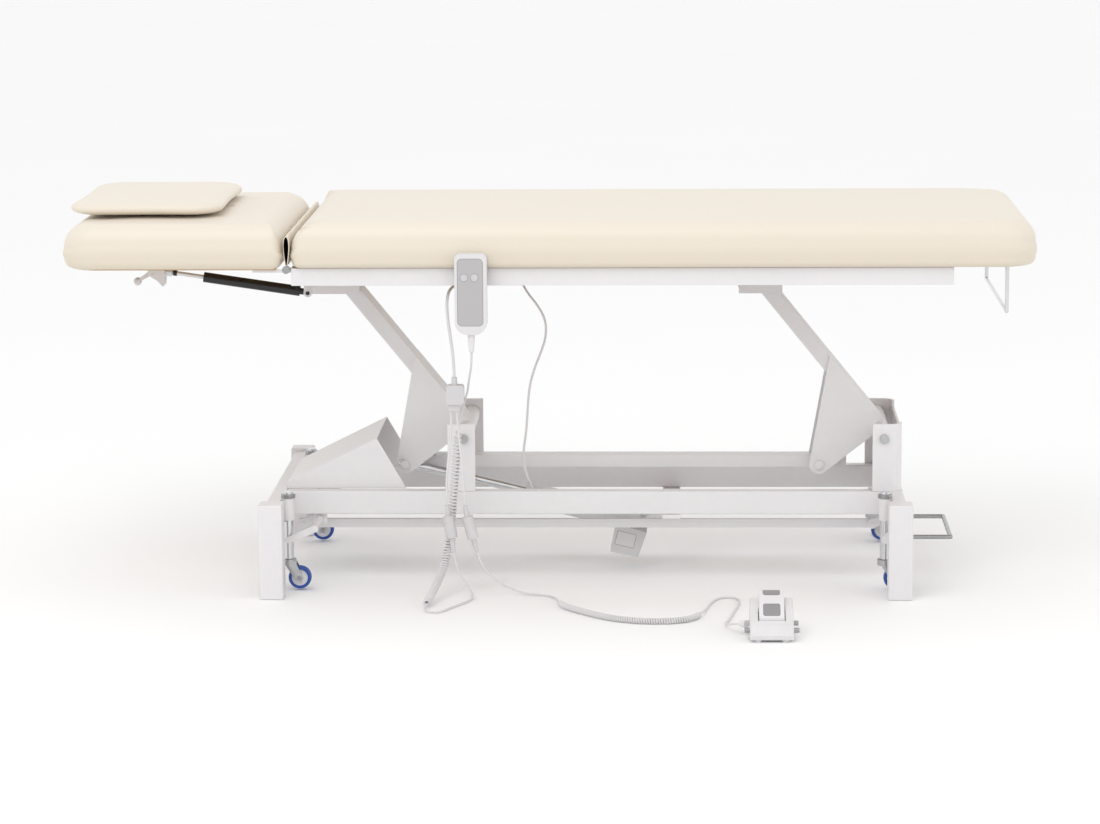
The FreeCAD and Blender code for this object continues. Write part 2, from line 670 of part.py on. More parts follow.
# Pillow: loose flat cushion with large corners, lying on the head section
def pillow():
    body = new_body(s.head_left, mid, s.head_under + s.head_thick + s.play)
    half = s.pillow_width / 2
    pad(body, polygon(sketch_on(body, "XY_Plane", s.pillow_thick / 2),
                      [(0, -half), (s.pillow_length, -half), (s.pillow_length, half), (0, half)]),
        s.pillow_thick)
    round_edges(body, s.pillow_corner, lambda e: runs(e, "z"))
    round_edges(body, 11, lambda e: at_level(e, "z", s.pillow_thick) or at_level(e, "z", size(0)))
    keep(body, "pillow")


pillow()


# Gap flap: folded vinyl strip standing in the hinge gap
def gap_flap():
    left = s.head_left + s.head_length + 5
    wide = s.pad_left - s.head_left - s.head_length - 8
    under = s.hinge_z + 8
    flap = block(left, mid - s.pad_width / 2 + 3, under, wide, s.pad_width - 6, 66)
    keep(flap, "gap_flap")


gap_flap()


# Control box under the board, between the cross tubes
def control_box():
    body = new_body(0, mid + 60, s.top_under + s.top_tall - 33)
    pad(body, polygon(sketch_on(body, "XY_Plane"), [(-90, -55), (90, -55), (90, 55), (-90, 55)]), 64)
    round_edges(body, 6, lambda e: runs(e, "z"))
    keep(body, "control_box")


control_box()


# Paper roll holder: chrome rod bent into a U that hangs from the foot end
def roll_holder():
    half = s.holder_track / 2
    top = s.top_under + s.top_tall + 1
    uprights = [rod("z", s.holder_x, mid + side * half, top - s.holder_drop, s.holder_radius, s.holder_drop)
                for side in (-1, 1)]
    bar = rod("y", s.holder_x, mid - half, top - s.holder_drop, s.holder_radius, s.holder_track)
    knees = []
    for side in (-1, 1):
        knee = doc.addObject("Part::Sphere", "Knee")
        tie(knee, "Radius", s.holder_radius)
        place(knee, s.holder_x, mid + side * half, top - s.holder_drop)
        knees.append(knee)
    keep(joined(*uprights, bar, *knees), "paper_roll_holder")


roll_holder()


# Head brackets: hinge straps with their bolts, and the bracket of the release lever
def head_brackets():
    solids = []
    for side in (-1, 1):
        y = mid + side * (s.top_width / 2 - 4) - 3
        strap = joined(block(s.hinge_x - 70, y, s.head_under - 6, 62, 6, 6),
                       rod("y", s.hinge_x, y, s.hinge_z, 7, 6),
                       block(s.hinge_x - 12, y, s.head_under - 6, 12, 6, 6))
        bolt_from = mid + side * (s.top_width / 2 - 7) - (7 if side > 0 else 3)
        bolt = rod("y", s.hinge_x, bolt_from, s.hinge_z, 3, 10)
        head_y = mid - s.top_width / 2 - 4 if side < 0 else mid + s.top_width / 2 - 1
        solids.append(joined(strap, bolt, rod("y", s.hinge_x, head_y, s.hinge_z, 8, 5)))
    for side in (-1, 1):
        body = new_body(s.lever_x, mid + side * 16, s.lever_z)
        top = s.head_under - s.lever_z
        pad(body, polygon(sketch_on(body, "XZ_Plane"),
                          [(-12, 0), (8, -12), (22, -28), (26, top), (-14, top)]), 4)
        round_edges(body, 3, lambda e: runs(e, "y") and e.BoundBox.ZMax < -1)
        pocket(body, circle(sketch_on(body, "XZ_Plane"), -3, 2, 3.05), 6)
        solids.append(body)
    keep(group(*solids), "head_brackets")


head_brackets()


# Gas spring, drawn along its own axis: black cylinder on the top frame, rod to the release block
def gas_spring():
    c, n = cosine(s.gas_tilt), sine(s.gas_tilt)
    turn = FreeCAD.Rotation(V(0, -1, 0), 180 - SIZES["gas_tilt"]) * FreeCAD.Rotation(V(0, 1, 0), 90)

    def bar(u, radius, long):
        item = doc.addObject("Part::Cylinder", "Bar")
        tie(item, "Radius", radius)
        tie(item, "Height", long)
        item.Placement = FreeCAD.Placement(V(), turn)
        u = size(u)
        place(item, s.gas_x - u * c, mid, s.gas_z + u * n)
        return item

    eye = rod("y", s.gas_x, mid - 8, s.gas_z, 8, 16)
    cylinder = joined(eye, bar(4, size(7), size(20)), bar(18, s.gas_tube_radius, s.gas_tube_long))
    hollow = bar(s.gas_tube_long - 160, s.gas_rod_radius + 0.3, size(190))
    pin = rod("y", s.gas_x, mid - 18, s.gas_z, 4, 36)
    keep(joined(minus(cylinder, hollow), pin), "gas_cylinder")
    shaft = bar(s.gas_tube_long - 100, s.gas_rod_radius, s.gas_length - s.gas_tube_long + 94)
    nut = bar(s.gas_length - 22, size(6.5), size(8))
    block_end = bar(s.gas_length - 12, size(9), size(26))
    keep(joined(shaft, nut, block_end), "gas_rod")


gas_spring()


# Release lever: bent strip with a round knob, pivoted in the bracket
def release_lever():
    body = new_body(s.lever_x, mid, s.lever_z)
    pad(body, polygon(sketch_on(body, "XZ_Plane"), [(-10, 8), (2, 8), (4, -1), (-8, -2), (-30, -14), (-34, -8)]),
        10)
    knob = new_body(s.lever_x - 37, mid, s.lever_z - 15)
    pad(knob, circle(sketch_on(knob, "XZ_Plane"), 0, 0, 8.5), 17)
    round_edges(knob, 6, lambda e: e.Curve.TypeId == "Part::GeomCircle")
    pin = rod("y", s.lever_x - 3, mid - 19, s.lever_z + 2, 3, 38)
    keep(joined(body, knob, pin), "release_lever")


release_lever()


# Castors: stems guided by the sleeves, forks that swivel under them, wheels that spin
def castors():
    stems = []
    sleeve_top = s.rail_under + s.rail_tall + 2
    wheel_z = s.wheel_radius + s.wheel_lift
    corners = [(x, side) for x in (s.stem_left, s.stem_right) for side in (-1, 1)]
    for x, side in corners:
        y = mid + side * s.stem_track / 2
        stems.append(rod("z", x, y, s.stem_foot, s.stem_radius, sleeve_top - s.stem_foot + 14))
    keep(group(*stems), "castor_stems")
    names = ("near_left", "far_left", "near_right", "far_right")
    for name, (x, side) in zip(names, corners):
        y = mid + side * s.stem_track / 2
        body = new_body(x, y, 0)
        top = s.stem_foot - s.play
        pad(body, circle(sketch_on(body, "XY_Plane", top - 6), 0, 0, 15), 12)
        lift = wheel_z
        for level in (-1, 1):
            cheek = sketch_on(body, "XZ_Plane", level * (s.wheel_wide / 2 + 2.5))
            polygon(cheek, [(-9, top - 8), (15, top - 8), (s.wheel_trail + 9, lift),
                            (s.wheel_trail + 4, lift - 9), (s.wheel_trail - 7, lift - 7)])
            pad(body, cheek, 3)
        bridge = sketch_on(body, "XZ_Plane")
        polygon(bridge, [(-9, top - 8), (15, top - 8), (13, top - 3), (-9, top - 3)])
        pad(body, bridge, s.wheel_wide + 8)
        pocket(body, circle(sketch_on(body, "XZ_Plane"), s.wheel_trail, lift, 3.05), s.wheel_wide + 20)
        keep(body, f"castor_fork_{name}")
        wheel = new_body(x + s.wheel_trail, y, wheel_z)
        pad(wheel, circle(sketch_on(wheel, "XZ_Plane"), 0, 0, s.wheel_radius), s.wheel_wide)
        round_edges(wheel, 3, lambda e: e.Curve.TypeId == "Part::GeomCircle")
        dish = circle(circle(sketch_on(wheel, "XZ_Plane", s.wheel_wide / 2), 0, 0, s.wheel_radius - 7), 0, 0, 7)
        pocket(wheel, dish, 6)
        dish = circle(circle(sketch_on(wheel, "XZ_Plane", -s.wheel_wide / 2), 0, 0, s.wheel_radius - 7), 0, 0, 7)
        pocket(wheel, dish, 6)
        pad(wheel, circle(sketch_on(wheel, "XZ_Plane"), 0, 0, 3), s.wheel_wide + 10)
        keep(wheel, f"castor_wheel_{name}")


castors()


# Castor linkage: two cross shafts with their arms and cranks, a link bar, and the U-shaped pedal
def castor_linkage():
    reach = s.stem_track / 2 + 8
    link_y = mid - s.link_side
    for label, x, tip in (("left_shaft", s.shaft_left, s.stem_left), ("right_shaft", s.shaft_right, s.stem_right)):
        pieces = [rod("y", x, mid - reach - 12, s.shaft_high, s.shaft_radius, 2 * reach + 24)]
        for side in (-1, 1):
            arm = new_body(x, mid + side * (s.stem_track / 2 + s.stem_radius + 3.5), s.shaft_high)
            far = tip - x
            pad(arm, polygon(sketch_on(arm, "XZ_Plane"),
                             [(-4, 6), (6, 2), (6, -6), (far + 2, -32), (far - 6, -30), (far - 8, -22)]), 5)
            pieces.append(arm)
        crank = new_body(x, link_y - 8, s.shaft_high)
        pad(crank, polygon(sketch_on(crank, "XZ_Plane"),
                           [(-5, 7), (5, 7), (7, -4), (-s.crank_across + 4, -s.crank_down - 9),
                            (-s.crank_across - 4, -s.crank_down + 9)]), 5)
        pad(crank, circle(sketch_on(crank, "XZ_Plane"), -s.crank_across, -s.crank_down, 10.5), 5)
        pieces.append(crank)
        pieces.append(rod("y", x - s.crank_across, link_y - 13, s.shaft_high - s.crank_down, 3.5, 21))
        if label == "right_shaft":
            for side in (-1, 1):
                y = mid + side * s.pedal_wide / 2
                drop = new_body(x, y, s.shaft_high)
                pad(drop, polygon(sketch_on(drop, "XZ_Plane"),
                                  [(-4, -4), (6, 4), (34, -s.pedal_drop + 5), (30, -s.pedal_drop - 4)]),
                    2 * s.pedal_radius)
                pieces.append(drop)
                pieces.append(rod("x", x + 28, y, s.shaft_high - s.pedal_drop, s.pedal_radius,
                                  s.pedal_reach - 28 - s.pedal_radius))
                bend = doc.addObject("Part::Sphere", "Bend")
                tie(bend, "Radius", s.pedal_radius)
                place(bend, x + s.pedal_reach - s.pedal_radius, y, s.shaft_high - s.pedal_drop)
                pieces.append(bend)
            pieces.append(rod("y", x + s.pedal_reach - s.pedal_radius, mid - s.pedal_wide / 2,
                              s.shaft_high - s.pedal_drop, s.pedal_radius, s.pedal_wide))
        keep(joined(*pieces), label)
    z = s.shaft_high - s.crank_down
    x = s.shaft_left - s.crank_across
    span = s.shaft_right - s.shaft_left
    bar = block(x - 8, link_y - 4, z - s.link_tall / 2, span + 16, 8, s.link_tall)
    bores = [rod("y", x + step, link_y - 5, z, 3.55, 10) for step in (size(0), span)]
    keep(minus(bar, *bores), "link_bar")


castor_linkage()


# Handset: rounded case with two buttons in front, hanging on the near side rail
def handset():
    y_back = mid - s.top_width / 2 - s.handset_gap
    thick = s.handset_thick
    body = new_body(s.handset_left, y_back - thick / 2, s.handset_under)
    tall, wide = s.handset_tall, s.handset_wide
    pad(body, polygon(sketch_on(body, "XZ_Plane"), [(0, 0), (wide, 0), (wide, tall), (0, tall)]), thick)
    round_edges(body, 26, lambda e: runs(e, "y") and at_level(e, "z", size(0)))
    round_edges(body, 10, lambda e: runs(e, "y") and at_level(e, "z", tall))
    front = sketch_on(body, "XZ_Plane", -thick / 2)
    for x in (0.3, 0.62):
        circle(front, x * wide, tall - 48, 8)
    pocket(body, front, 7)
    relief = doc.addObject("Part::Cone", "Relief")
    relief.Radius1 = 4.5
    relief.Radius2 = 7.2
    relief.Height = 38
    place(relief, s.handset_left + wide / 2, y_back - thick / 2, s.handset_under - 37)
    keep(joined(body, relief), "handset_case")
    for label, x in (("handset_button_up", 0.3), ("handset_button_down", 0.62)):
        cap = rod("y", s.handset_left + x * wide, y_back - thick - 1.2, s.handset_under + tall - 48, 8 - s.play, 3)
        keep(cap, label)


handset()


# Foot switch: wedge housing on the floor with a rocker between its walls
def foot_switch():
    half = s.foot_wide / 2
    body = new_body(s.foot_x, mid, 0)
    front, back = -s.foot_front, -s.foot_front + s.foot_deep
    rise = sketch_on(body, "YZ_Plane")
    polygon(rise, [(front + 3, 5), (front, 14), (front + 8, s.foot_low), (back - 22, s.foot_high),
                   (back, s.foot_high - 6), (back, 5)])
    pad(body, rise, s.foot_wide)
    round_edges(body, 6, lambda e: abs(e.BoundBox.XMax - e.BoundBox.XMin) < 0.01 and e.BoundBox.ZMax > 20)
    well = sketch_on(body, "YZ_Plane")
    polygon(well, [(front + 22, s.foot_low - 6), (front + 22, s.foot_low + 40), (back + 5, s.foot_high + 30),
                   (back + 5, s.foot_high - 26), (back - 14, s.foot_high - 26)])
    pocket(body, well, s.foot_wide - 32)
    keep(body, "foot_switch_housing")

    rocker = new_body(s.foot_x, mid, 0)
    shape = sketch_on(rocker, "YZ_Plane")
    polygon(shape, [(front + 24, s.foot_low + 2), (front + 24, s.foot_low + 12), (back - 40, s.foot_high + 12),
                    (back - 12, s.foot_high + 14), (back - 12, s.foot_high - 12)])
    pad(rocker, shape, s.foot_wide - 36)
    round_edges(rocker, 3, lambda e: abs(e.BoundBox.XMax - e.BoundBox.XMin) < 0.01 and e.BoundBox.ZMax > 50)
    pin_long = s.foot_wide - 32 - 2 * s.play
    pin = rod("x", s.foot_x - pin_long / 2, mid + front + 65, s.foot_low + 14, 3, pin_long)
    keep(joined(rocker, pin), "foot_switch_rocker")

    solids = []
    for side in (-1, 1):
        for y in (front + 14, back - 14):
            solids.append(rod("z", s.foot_x + side * (half - 16), mid + y, 0, 7, 5))
        for y in (front + 26, back - 30):
            start = s.foot_x - half - 11 if side < 0 else s.foot_x + half
            solids.append(rod("x", start, mid + y, 20, 5, 11))
    solids.append(cone((402.7, -662, 23.5), (391, -651, 22), 8, 6))
    keep(group(*solids), "foot_switch_fittings")


foot_switch()


# Splitter box on the trunk cable, and the two in-line connectors under it
def cord_fittings():
    body = new_body(-192.5, mid - 290, 402)
    half = s.splitter_wide / 2
    front = sketch_on(body, "XZ_Plane")
    polygon(front, [(-half, 0), (half, 0), (half, s.splitter_tall), (-half, s.splitter_tall)])
    pad(body, front, s.splitter_deep)
    round_edges(body, 6, lambda e: runs(e, "y"))
    pad(body, polygon(sketch_on(body, "XZ_Plane"), [(-14.5, -14), (8.5, -14), (8.5, 3), (-14.5, 3)]), 13)
    keep(joined(body, cone((-194, -290, 440), (-194, -290, 458), 6.5, 5.5)), "splitter")
    first = joined(cone((-212, -290, 189), (-209.5, -291.3, 162), 4, 7),
                   cone((-210, -291, 166), (-202, -296, 121), 12, 12),
                   cone((-202.5, -295.6, 125), (-199, -300, 91), 7, 4))
    second = joined(cone((-174, -294, 189), (-169.5, -295.1, 162), 4, 7),
                    cone((-170, -295, 166), (-158, -296, 120), 12, 12),
                    cone((-159, -295.9, 124), (-150, -297, 91), 7, 4))
    keep(group(first, second), "connectors")


cord_fittings()


def cord(label, alias, points):
    """Round cable along straight runs joined by tangent arcs, with y counted from the centre line."""
    radius = float(sheet.get(alias))
    route = [V(x, SIZES["centre_y"] + y, z) for x, y, z in points]
    edges = []
    radii = []
    start = route[0]
    for before, corner, after in zip(route, route[1:], route[2:]):
        back, ahead = before - corner, after - corner
        half_turn = (math.pi - back.getAngle(ahead)) / 2
        reach = 0.45 * min(back.Length, ahead.Length)
        bend = reach / math.tan(half_turn)
        radii.append(bend)
        enter = corner + back.normalize() * reach
        leave = corner + ahead.normalize() * reach
        middle = corner + (back + ahead).normalize() * bend * (1 / math.cos(half_turn) - 1)
        edges.append(Part.LineSegment(start, enter).toShape())
        edges.append(Part.Arc(enter, middle, leave).toShape())
        start = leave
    edges.append(Part.LineSegment(start, route[-1]).toShape())
    wire = Part.Wire(edges)
    section = Part.Wire(Part.makeCircle(radius, route[0], route[1] - route[0]))
    solid = wire.makePipeShell([section], True, False)
    share = solid.Volume / (math.pi * radius ** 2 * wire.Length)
    if abs(share - 1) > 0.01:
        raise RuntimeError(f"{label} has {share:.3f} of its expected volume")
    print(f"{label}: {wire.Length:.0f} long, tightest bend {min(radii) / radius / 2:.1f} diameters")
    item = doc.addObject("Part::Feature", "Cable")
    item.Shape = solid
    keep(item, label)


# Trunk cable from the control box, under the near side rail, down to the splitter
cord("trunk_cable", "trunk_radius", [
    (-90.3, 40, 640), (-112, 37, 640), (-132, 20, 639), (-145, -15, 640), (-156, -60, 639), (-168, -105, 641),
    (-178, -150, 640), (-187, -193, 639), (-198, -232, 639), (-206, -264, 632), (-208.5, -287, 610),
    (-206, -292, 575), (-200, -292, 535), (-195.5, -290, 495), (-194, -290, 458.3)])

# Two cables from the splitter to the in-line connectors
cord("cable_first", "cable_radius", [
    (-201, -290, 387.7), (-201.5, -290.5, 355), (-205, -290, 315), (-210, -289, 270), (-213.5, -288.5, 228),
    (-212, -290, 189.3)])
cord("cable_second", "cable_radius", [
    (-190, -290, 387.7), (-188, -291, 355), (-184, -292.5, 315), (-179.5, -292, 270), (-177.5, -293, 228),
    (-174, -294, 189.3)])

# Curly cord of the handset: lead, coil and lead back up to the first connector
cord("handset_cord_upper", "lead_radius", [
    (-155, -339.5, 517.7), (-155.5, -337, 492), (-160, -320, 468), (-164, -295, 450), (-167, -272, 428),
    (-175, -267, 402), (-183, -270, 375), (-187, -272, 351.3)])
cord("handset_coil", "coil_radius", [
    (-187, -272, 351), (-191, -271, 306), (-199, -270.5, 206), (-206, -272, 128), (-213, -283, 86),
    (-221, -308, 55), (-232, -350, 33), (-244, -398, 14), (-251, -440, 9.3)])
cord("handset_cord_lower", "lead_radius", [
    (-251, -440.3, 9.3), (-251.5, -457, 6), (-241, -471, 3.5), (-224, -474, 2.6), (-211, -461, 2.8),
    (-197, -430, 2.6), (-178, -396, 2.8), (-161, -362, 2.6), (-157, -334, 6), (-165, -313, 17),
    (-180, -304, 37), (-195.3, -302.8, 63.4), (-199, -300.1, 90.7)])

# Cord of the foot switch: lead down to the floor, coil, and a loop to the gland on the switch
cord("foot_cord_upper", "lead_radius", [
    (-150, -297, 90.7), (-141.8, -298, 60.5), (-118, -299, 38), (-90, -300.5, 19), (-60, -302, 6),
    (-28, -307, 2.6), (-2, -316, 2.8), (14, -338, 2.6), (19, -364, 4), (22, -390, 6.8)])
cord("foot_coil", "foot_coil_radius", [
    (22, -390.3, 6.9), (30, -425, 7), (62, -465, 6.9), (101, -510, 7), (141, -544, 6.9), (194, -565, 7),
    (256, -564, 6.9), (300, -540, 7), (316, -493, 6.9)])
cord("foot_cord_lower", "lead_radius", [
    (316.1, -492.7, 6.9), (321, -466, 4), (327, -425, 2.6), (334, -388, 2.8), (343, -357, 2.6),
    (356, -332, 2.8), (382, -330, 2.6), (394, -355, 2.8), (392, -398, 2.6), (384, -445, 2.8),
    (375, -505, 2.6), (365, -560, 3.5), (361, -598, 8), (371, -630, 16), (390.8, -650.8, 21.9)])

# Cable from the control box to the actuator
cord("actuator_cable", "cable_radius", [
    (-76, 4.7, 642), (-76, -13, 642), (-73, -33, 639), (-65, -49, 624), (-51, -59, 600), (-30, -61, 575),
    (-13, -60, 543), (-12.5, -60.5, 507), (-24, -60, 473), (-38, -60.5, 439), (-48, -60, 403),
    (-52, -60.5, 366), (-54, -60, 330), (-57, -61, 297), (-62, -64, 266), (-62, -73, 238), (-55, -84, 212),
    (-44, -88, 190), (-38, -77, 172), (-38, -58.3, 172)])

os.makedirs("parts", exist_ok=True)
doc.recompute()
for item in doc.Objects:
    if "Invalid" in item.State or "Error" in item.State:
        raise RuntimeError(f"{item.Name} {item.Label} failed: {item.State}")
for item in parts:
    shape = item.Shape
    if shape.isNull() or not shape.isValid() or not shape.Solids:
        raise RuntimeError(f"{item.Label} has no valid solid")
    shape.exportStep(f"parts/{item.Label}.step")
print(len(parts), "sub-parts written")
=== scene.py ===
import json
import math
import bmesh
import bpy
import numpy as np
from mathutils import Matrix, Vector


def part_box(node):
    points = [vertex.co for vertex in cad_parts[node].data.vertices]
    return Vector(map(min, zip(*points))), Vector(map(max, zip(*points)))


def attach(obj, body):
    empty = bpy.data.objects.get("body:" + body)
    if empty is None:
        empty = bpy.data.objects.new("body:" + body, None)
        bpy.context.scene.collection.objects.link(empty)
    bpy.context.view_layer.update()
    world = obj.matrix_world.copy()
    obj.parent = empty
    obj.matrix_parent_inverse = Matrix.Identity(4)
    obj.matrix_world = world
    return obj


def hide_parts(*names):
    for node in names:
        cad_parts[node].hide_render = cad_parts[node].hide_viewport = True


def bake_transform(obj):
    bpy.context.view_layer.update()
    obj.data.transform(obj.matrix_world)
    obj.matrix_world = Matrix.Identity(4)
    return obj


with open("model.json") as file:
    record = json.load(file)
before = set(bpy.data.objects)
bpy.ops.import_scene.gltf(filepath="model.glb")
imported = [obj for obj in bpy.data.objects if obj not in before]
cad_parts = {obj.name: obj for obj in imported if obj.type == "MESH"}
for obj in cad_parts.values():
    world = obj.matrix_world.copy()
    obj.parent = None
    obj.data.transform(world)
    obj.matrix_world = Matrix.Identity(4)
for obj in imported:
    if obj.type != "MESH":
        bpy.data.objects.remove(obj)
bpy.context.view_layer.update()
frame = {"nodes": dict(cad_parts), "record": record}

# Whole part in CAD, and the table's centre line, which the foot switch in front sets off the middle.
centre_y = 0.187

# Viewpoint. The table is seen from its near side, a little from above and towards the foot end,
# with a long lens.
pitch, yaw, roll = math.radians(9.80), math.radians(2.11), math.radians(-0.38)
forward = Vector((-math.sin(yaw) * math.cos(pitch), math.cos(yaw) * math.cos(pitch), -math.sin(pitch)))
level = Vector((math.cos(yaw), math.sin(yaw), 0))
upward = level.cross(forward)
right = math.cos(roll) * level + math.sin(roll) * upward
above = -math.sin(roll) * level + math.cos(roll) * upward
camera = bpy.data.objects.new("camera", bpy.data.cameras.new("camera"))
camera.data.sensor_width = 36
camera.data.lens = 118.63
camera.data.clip_end = 60
camera.matrix_world = Matrix.Translation((0.27467, -7.47337, 1.6589)) @ Matrix(
    (right, above, -forward)).transposed().to_4x4()
bpy.context.collection.objects.link(camera)
bpy.context.scene.camera = camera

# Studio. A pale floor, a wide soft light over the near side, a weaker one from the foot end and an
# even white surround.
bpy.context.scene.view_settings.view_transform = "Standard"
bpy.context.scene.view_settings.look = "None"
surround = bpy.data.worlds.new("surround")
surround.use_nodes = True
surround.node_tree.nodes["Background"].inputs["Color"].default_value = (1.0, 1.0, 1.0, 1)
surround.node_tree.nodes["Background"].inputs["Strength"].default_value = 1.0
bpy.context.scene.world = surround
for name, place, aim, size, power in (
        ("key_light", (-1.2, -2.8, 3.8), (0, 0.2, 0.4), 3.0, 42),
        ("foot_light", (4.2, -2.0, 2.2), (0.2, 0.2, 0.5), 2.0, 10)):
    lamp = bpy.data.lights.new(name, "AREA")
    lamp.shape = "DISK"
    lamp.size = size
    lamp.energy = power
    light = bpy.data.objects.new(name, lamp)
    light.location = place
    light.rotation_euler = (Vector(aim) - Vector(place)).to_track_quat("-Z", "Y").to_euler()
    bpy.context.collection.objects.link(light)

floor_mesh = bpy.data.meshes.new("floor")
floor_mesh.from_pydata([(-30, -30, 0), (30, -30, 0), (30, 30, 0), (-30, 30, 0)], [], [(0, 1, 2, 3)])
floor = bpy.data.objects.new("floor", floor_mesh)
bpy.context.collection.objects.link(floor)


class Signal:
    """One shader socket. Sums, differences, products and powers of signals and numbers add Math nodes."""

    def __init__(self, tree, socket=None):
        self.tree = tree
        self.socket = socket

    def node(self, kind, settings=None, output=0, **sockets):
        """A node of any kind: its settings are set first, then its sockets get numbers or links."""
        made = self.tree.nodes.new("ShaderNode" + kind)
        for name, value in (settings or {}).items():
            setattr(made, name, value)
        for name, value in sockets.items():
            key = int(name[1:]) if name[0] == "_" else name.replace("_", " ")
            if isinstance(value, Signal):
                self.tree.links.new(value.socket, made.inputs[key])
            else:
                made.inputs[key].default_value = value
        return Signal(self.tree, made.outputs[output])

    def maths(self, operation, first, second):
        return self.node("Math", {"operation": operation}, _0=first, _1=second)

    def __add__(self, other):
        return self.maths("ADD", self, other)

    def __sub__(self, other):
        return self.maths("SUBTRACT", self, other)

    def __rsub__(self, other):
        return self.maths("SUBTRACT", other, self)

    def __mul__(self, other):
        return self.maths("MULTIPLY", self, other)

    def __pow__(self, other):
        return self.maths("POWER", self, other)

    __radd__ = __add__
    __rmul__ = __mul__

    def ramp(self, low, high):
        """0 below the low value, 1 above the high one, straight between them."""
        return self.node("MapRange", {"clamp": True}, Value=self, From_Min=low, From_Max=high)

    def mix(self, low, high):
        """Colour between two colours, by this signal."""
        return self.node("Mix", {"data_type": "RGBA"}, 2, Factor=self, _6=low, _7=high)


def new_finish(name):
    """Empty material: the shader, a start for its signals, and the place on the object."""
    material = bpy.data.materials.new(name)
    material.use_nodes = True
    tree = material.node_tree
    start = Signal(tree)
    place = start.node("TexCoord", output=3)
    return material, tree.nodes["Principled BSDF"], start, place


def connect(shader, **inputs):
    """Numbers and colours are set on the shader's own sockets, and signals are linked to them."""
    for name, value in inputs.items():
        socket = shader.inputs[name.replace("_", " ")]
        if isinstance(value, Signal):
            value.tree.links.new(value.socket, socket)
        else:
            socket.default_value = value


def rgb(red, green, blue):
    """Colour as seen on a screen, 0 to 255, in the shader's linear numbers."""
    tones = [((v / 255 + 0.055) / 1.055) ** 2.4 if v > 10 else v / 3294.6 for v in (red, green, blue)]
    return (*tones, 1.0)


def floor_finish():
    """Matt floor, slightly cloudy over about a metre."""
    material, shader, start, place = new_finish("studio_floor")
    cloud = start.node("TexNoise", Vector=place, Scale=0.8, Detail=2.0)
    connect(shader, Base_Color=cloud.mix(rgb(247, 247, 247), rgb(250, 250, 250)), Roughness=0.75)
    return material


floor_mesh.materials.append(floor_finish())


# Base frame, posts, top frame and linkage. Welded mild steel tube and plate, ground smooth and
# coated with white powder, which leaves a faint orange peel and soft edges. The posts are welded to
# the rails, and the arms turn on axles between them.
def deeper(tone, share):
    """The same colour at a share of its strength."""
    return (*(share * value for value in tone[:3]), 1.0)


def powder_coat(name, tone, gloss):
    """White powder coat: pebbled at about 1.5 mm, a little uneven in tone and gloss."""
    material, shader, start, place = new_finish(name)
    broad = start.node("TexNoise", Vector=place, Scale=3.0, Detail=3.0)
    peel = start.node("TexNoise", Vector=place, Scale=620.0, Detail=2.0, Roughness=0.45)
    dust = start.node("TexNoise", Vector=place, Scale=48.0, Detail=5.0, Roughness=0.7)
    uneven = (broad * 0.6 + dust * 0.4).ramp(0.3, 0.7)
    connect(shader, Base_Color=uneven.mix(deeper(tone, 0.93), tone),
            Roughness=gloss + 0.10 * dust,
            Normal=start.node("Bump", Height=peel, Strength=0.10, Distance=0.0006))
    shader.inputs["Coat Weight"].default_value = 0.15
    shader.inputs["Coat Roughness"].default_value = 0.2
    return material


body_of_node = {node: body for body, nodes in frame["record"]["behaviour"]["bodies"].items() for node in nodes}


def add_piece(name, mesh, body, finish, slot, *stands_for):
    """Object at the origin that rides on a body, with its finish, and the solids that it stands for."""
    piece = bpy.data.objects.new(name, mesh)
    bpy.context.collection.objects.link(piece)
    mesh.materials.clear()
    mesh.materials.append(finish)
    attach(piece, body)
    if stands_for:
        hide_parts(*stands_for)
    return piece


def soften(mesh, sharpest=35):
    """Smooth shading, apart from edges that turn by more than the given angle."""
    work = bmesh.new()
    work.from_mesh(mesh)
    for face in work.faces:
        face.smooth = True
    for edge in work.edges:
        edge.smooth = not (len(edge.link_faces) == 2 and edge.calc_face_angle(0) > math.radians(sharpest))
    work.to_mesh(mesh)
    work.free()


def dress(node, finish, slot, rounding, steps=2):
    """The node's own solid with its triangles merged and its edges rounded over."""
    mesh = frame["nodes"][node].data.copy()
    work = bmesh.new()
    work.from_mesh(mesh)
    bmesh.ops.remove_doubles(work, verts=work.verts, dist=2e-6)
    bmesh.ops.dissolve_limit(work, angle_limit=math.radians(0.6), verts=work.verts, edges=work.edges)
    work.to_mesh(mesh)
    work.free()
    soften(mesh)
    piece = add_piece(node + "_skin", mesh, body_of_node[node], finish, slot, node)
    bevel = piece.modifiers.new("edges", "BEVEL")
    bevel.width = rounding
    bevel.segments = steps
    bevel.limit_method = "ANGLE"
    bevel.angle_limit = math.radians(35)
    bevel.harden_normals = True
    return piece


coat = powder_coat("white_powder_coat", rgb(227, 225, 226), 0.33)
for node, rounding in (
        ("near_rail", 0.0035), ("far_rail", 0.0035), ("left_end_frame", 0.0035), ("right_end_frame", 0.0035),
        ("left_post", 0.0012), ("right_post", 0.0012), ("wedge_cover", 0.0006), ("actuator_bar", 0.0010),
        ("left_lift_arm", 0.0014), ("right_lift_arm", 0.0014), ("tie_bar", 0.0030), ("top_frame", 0.0030),
        ("pivot_channels", 0.0010), ("left_shaft", 0.0010), ("link_bar", 0.0012)):
    dress(node, coat, "steel_white", rounding, 3 if rounding > 0.002 else 2)


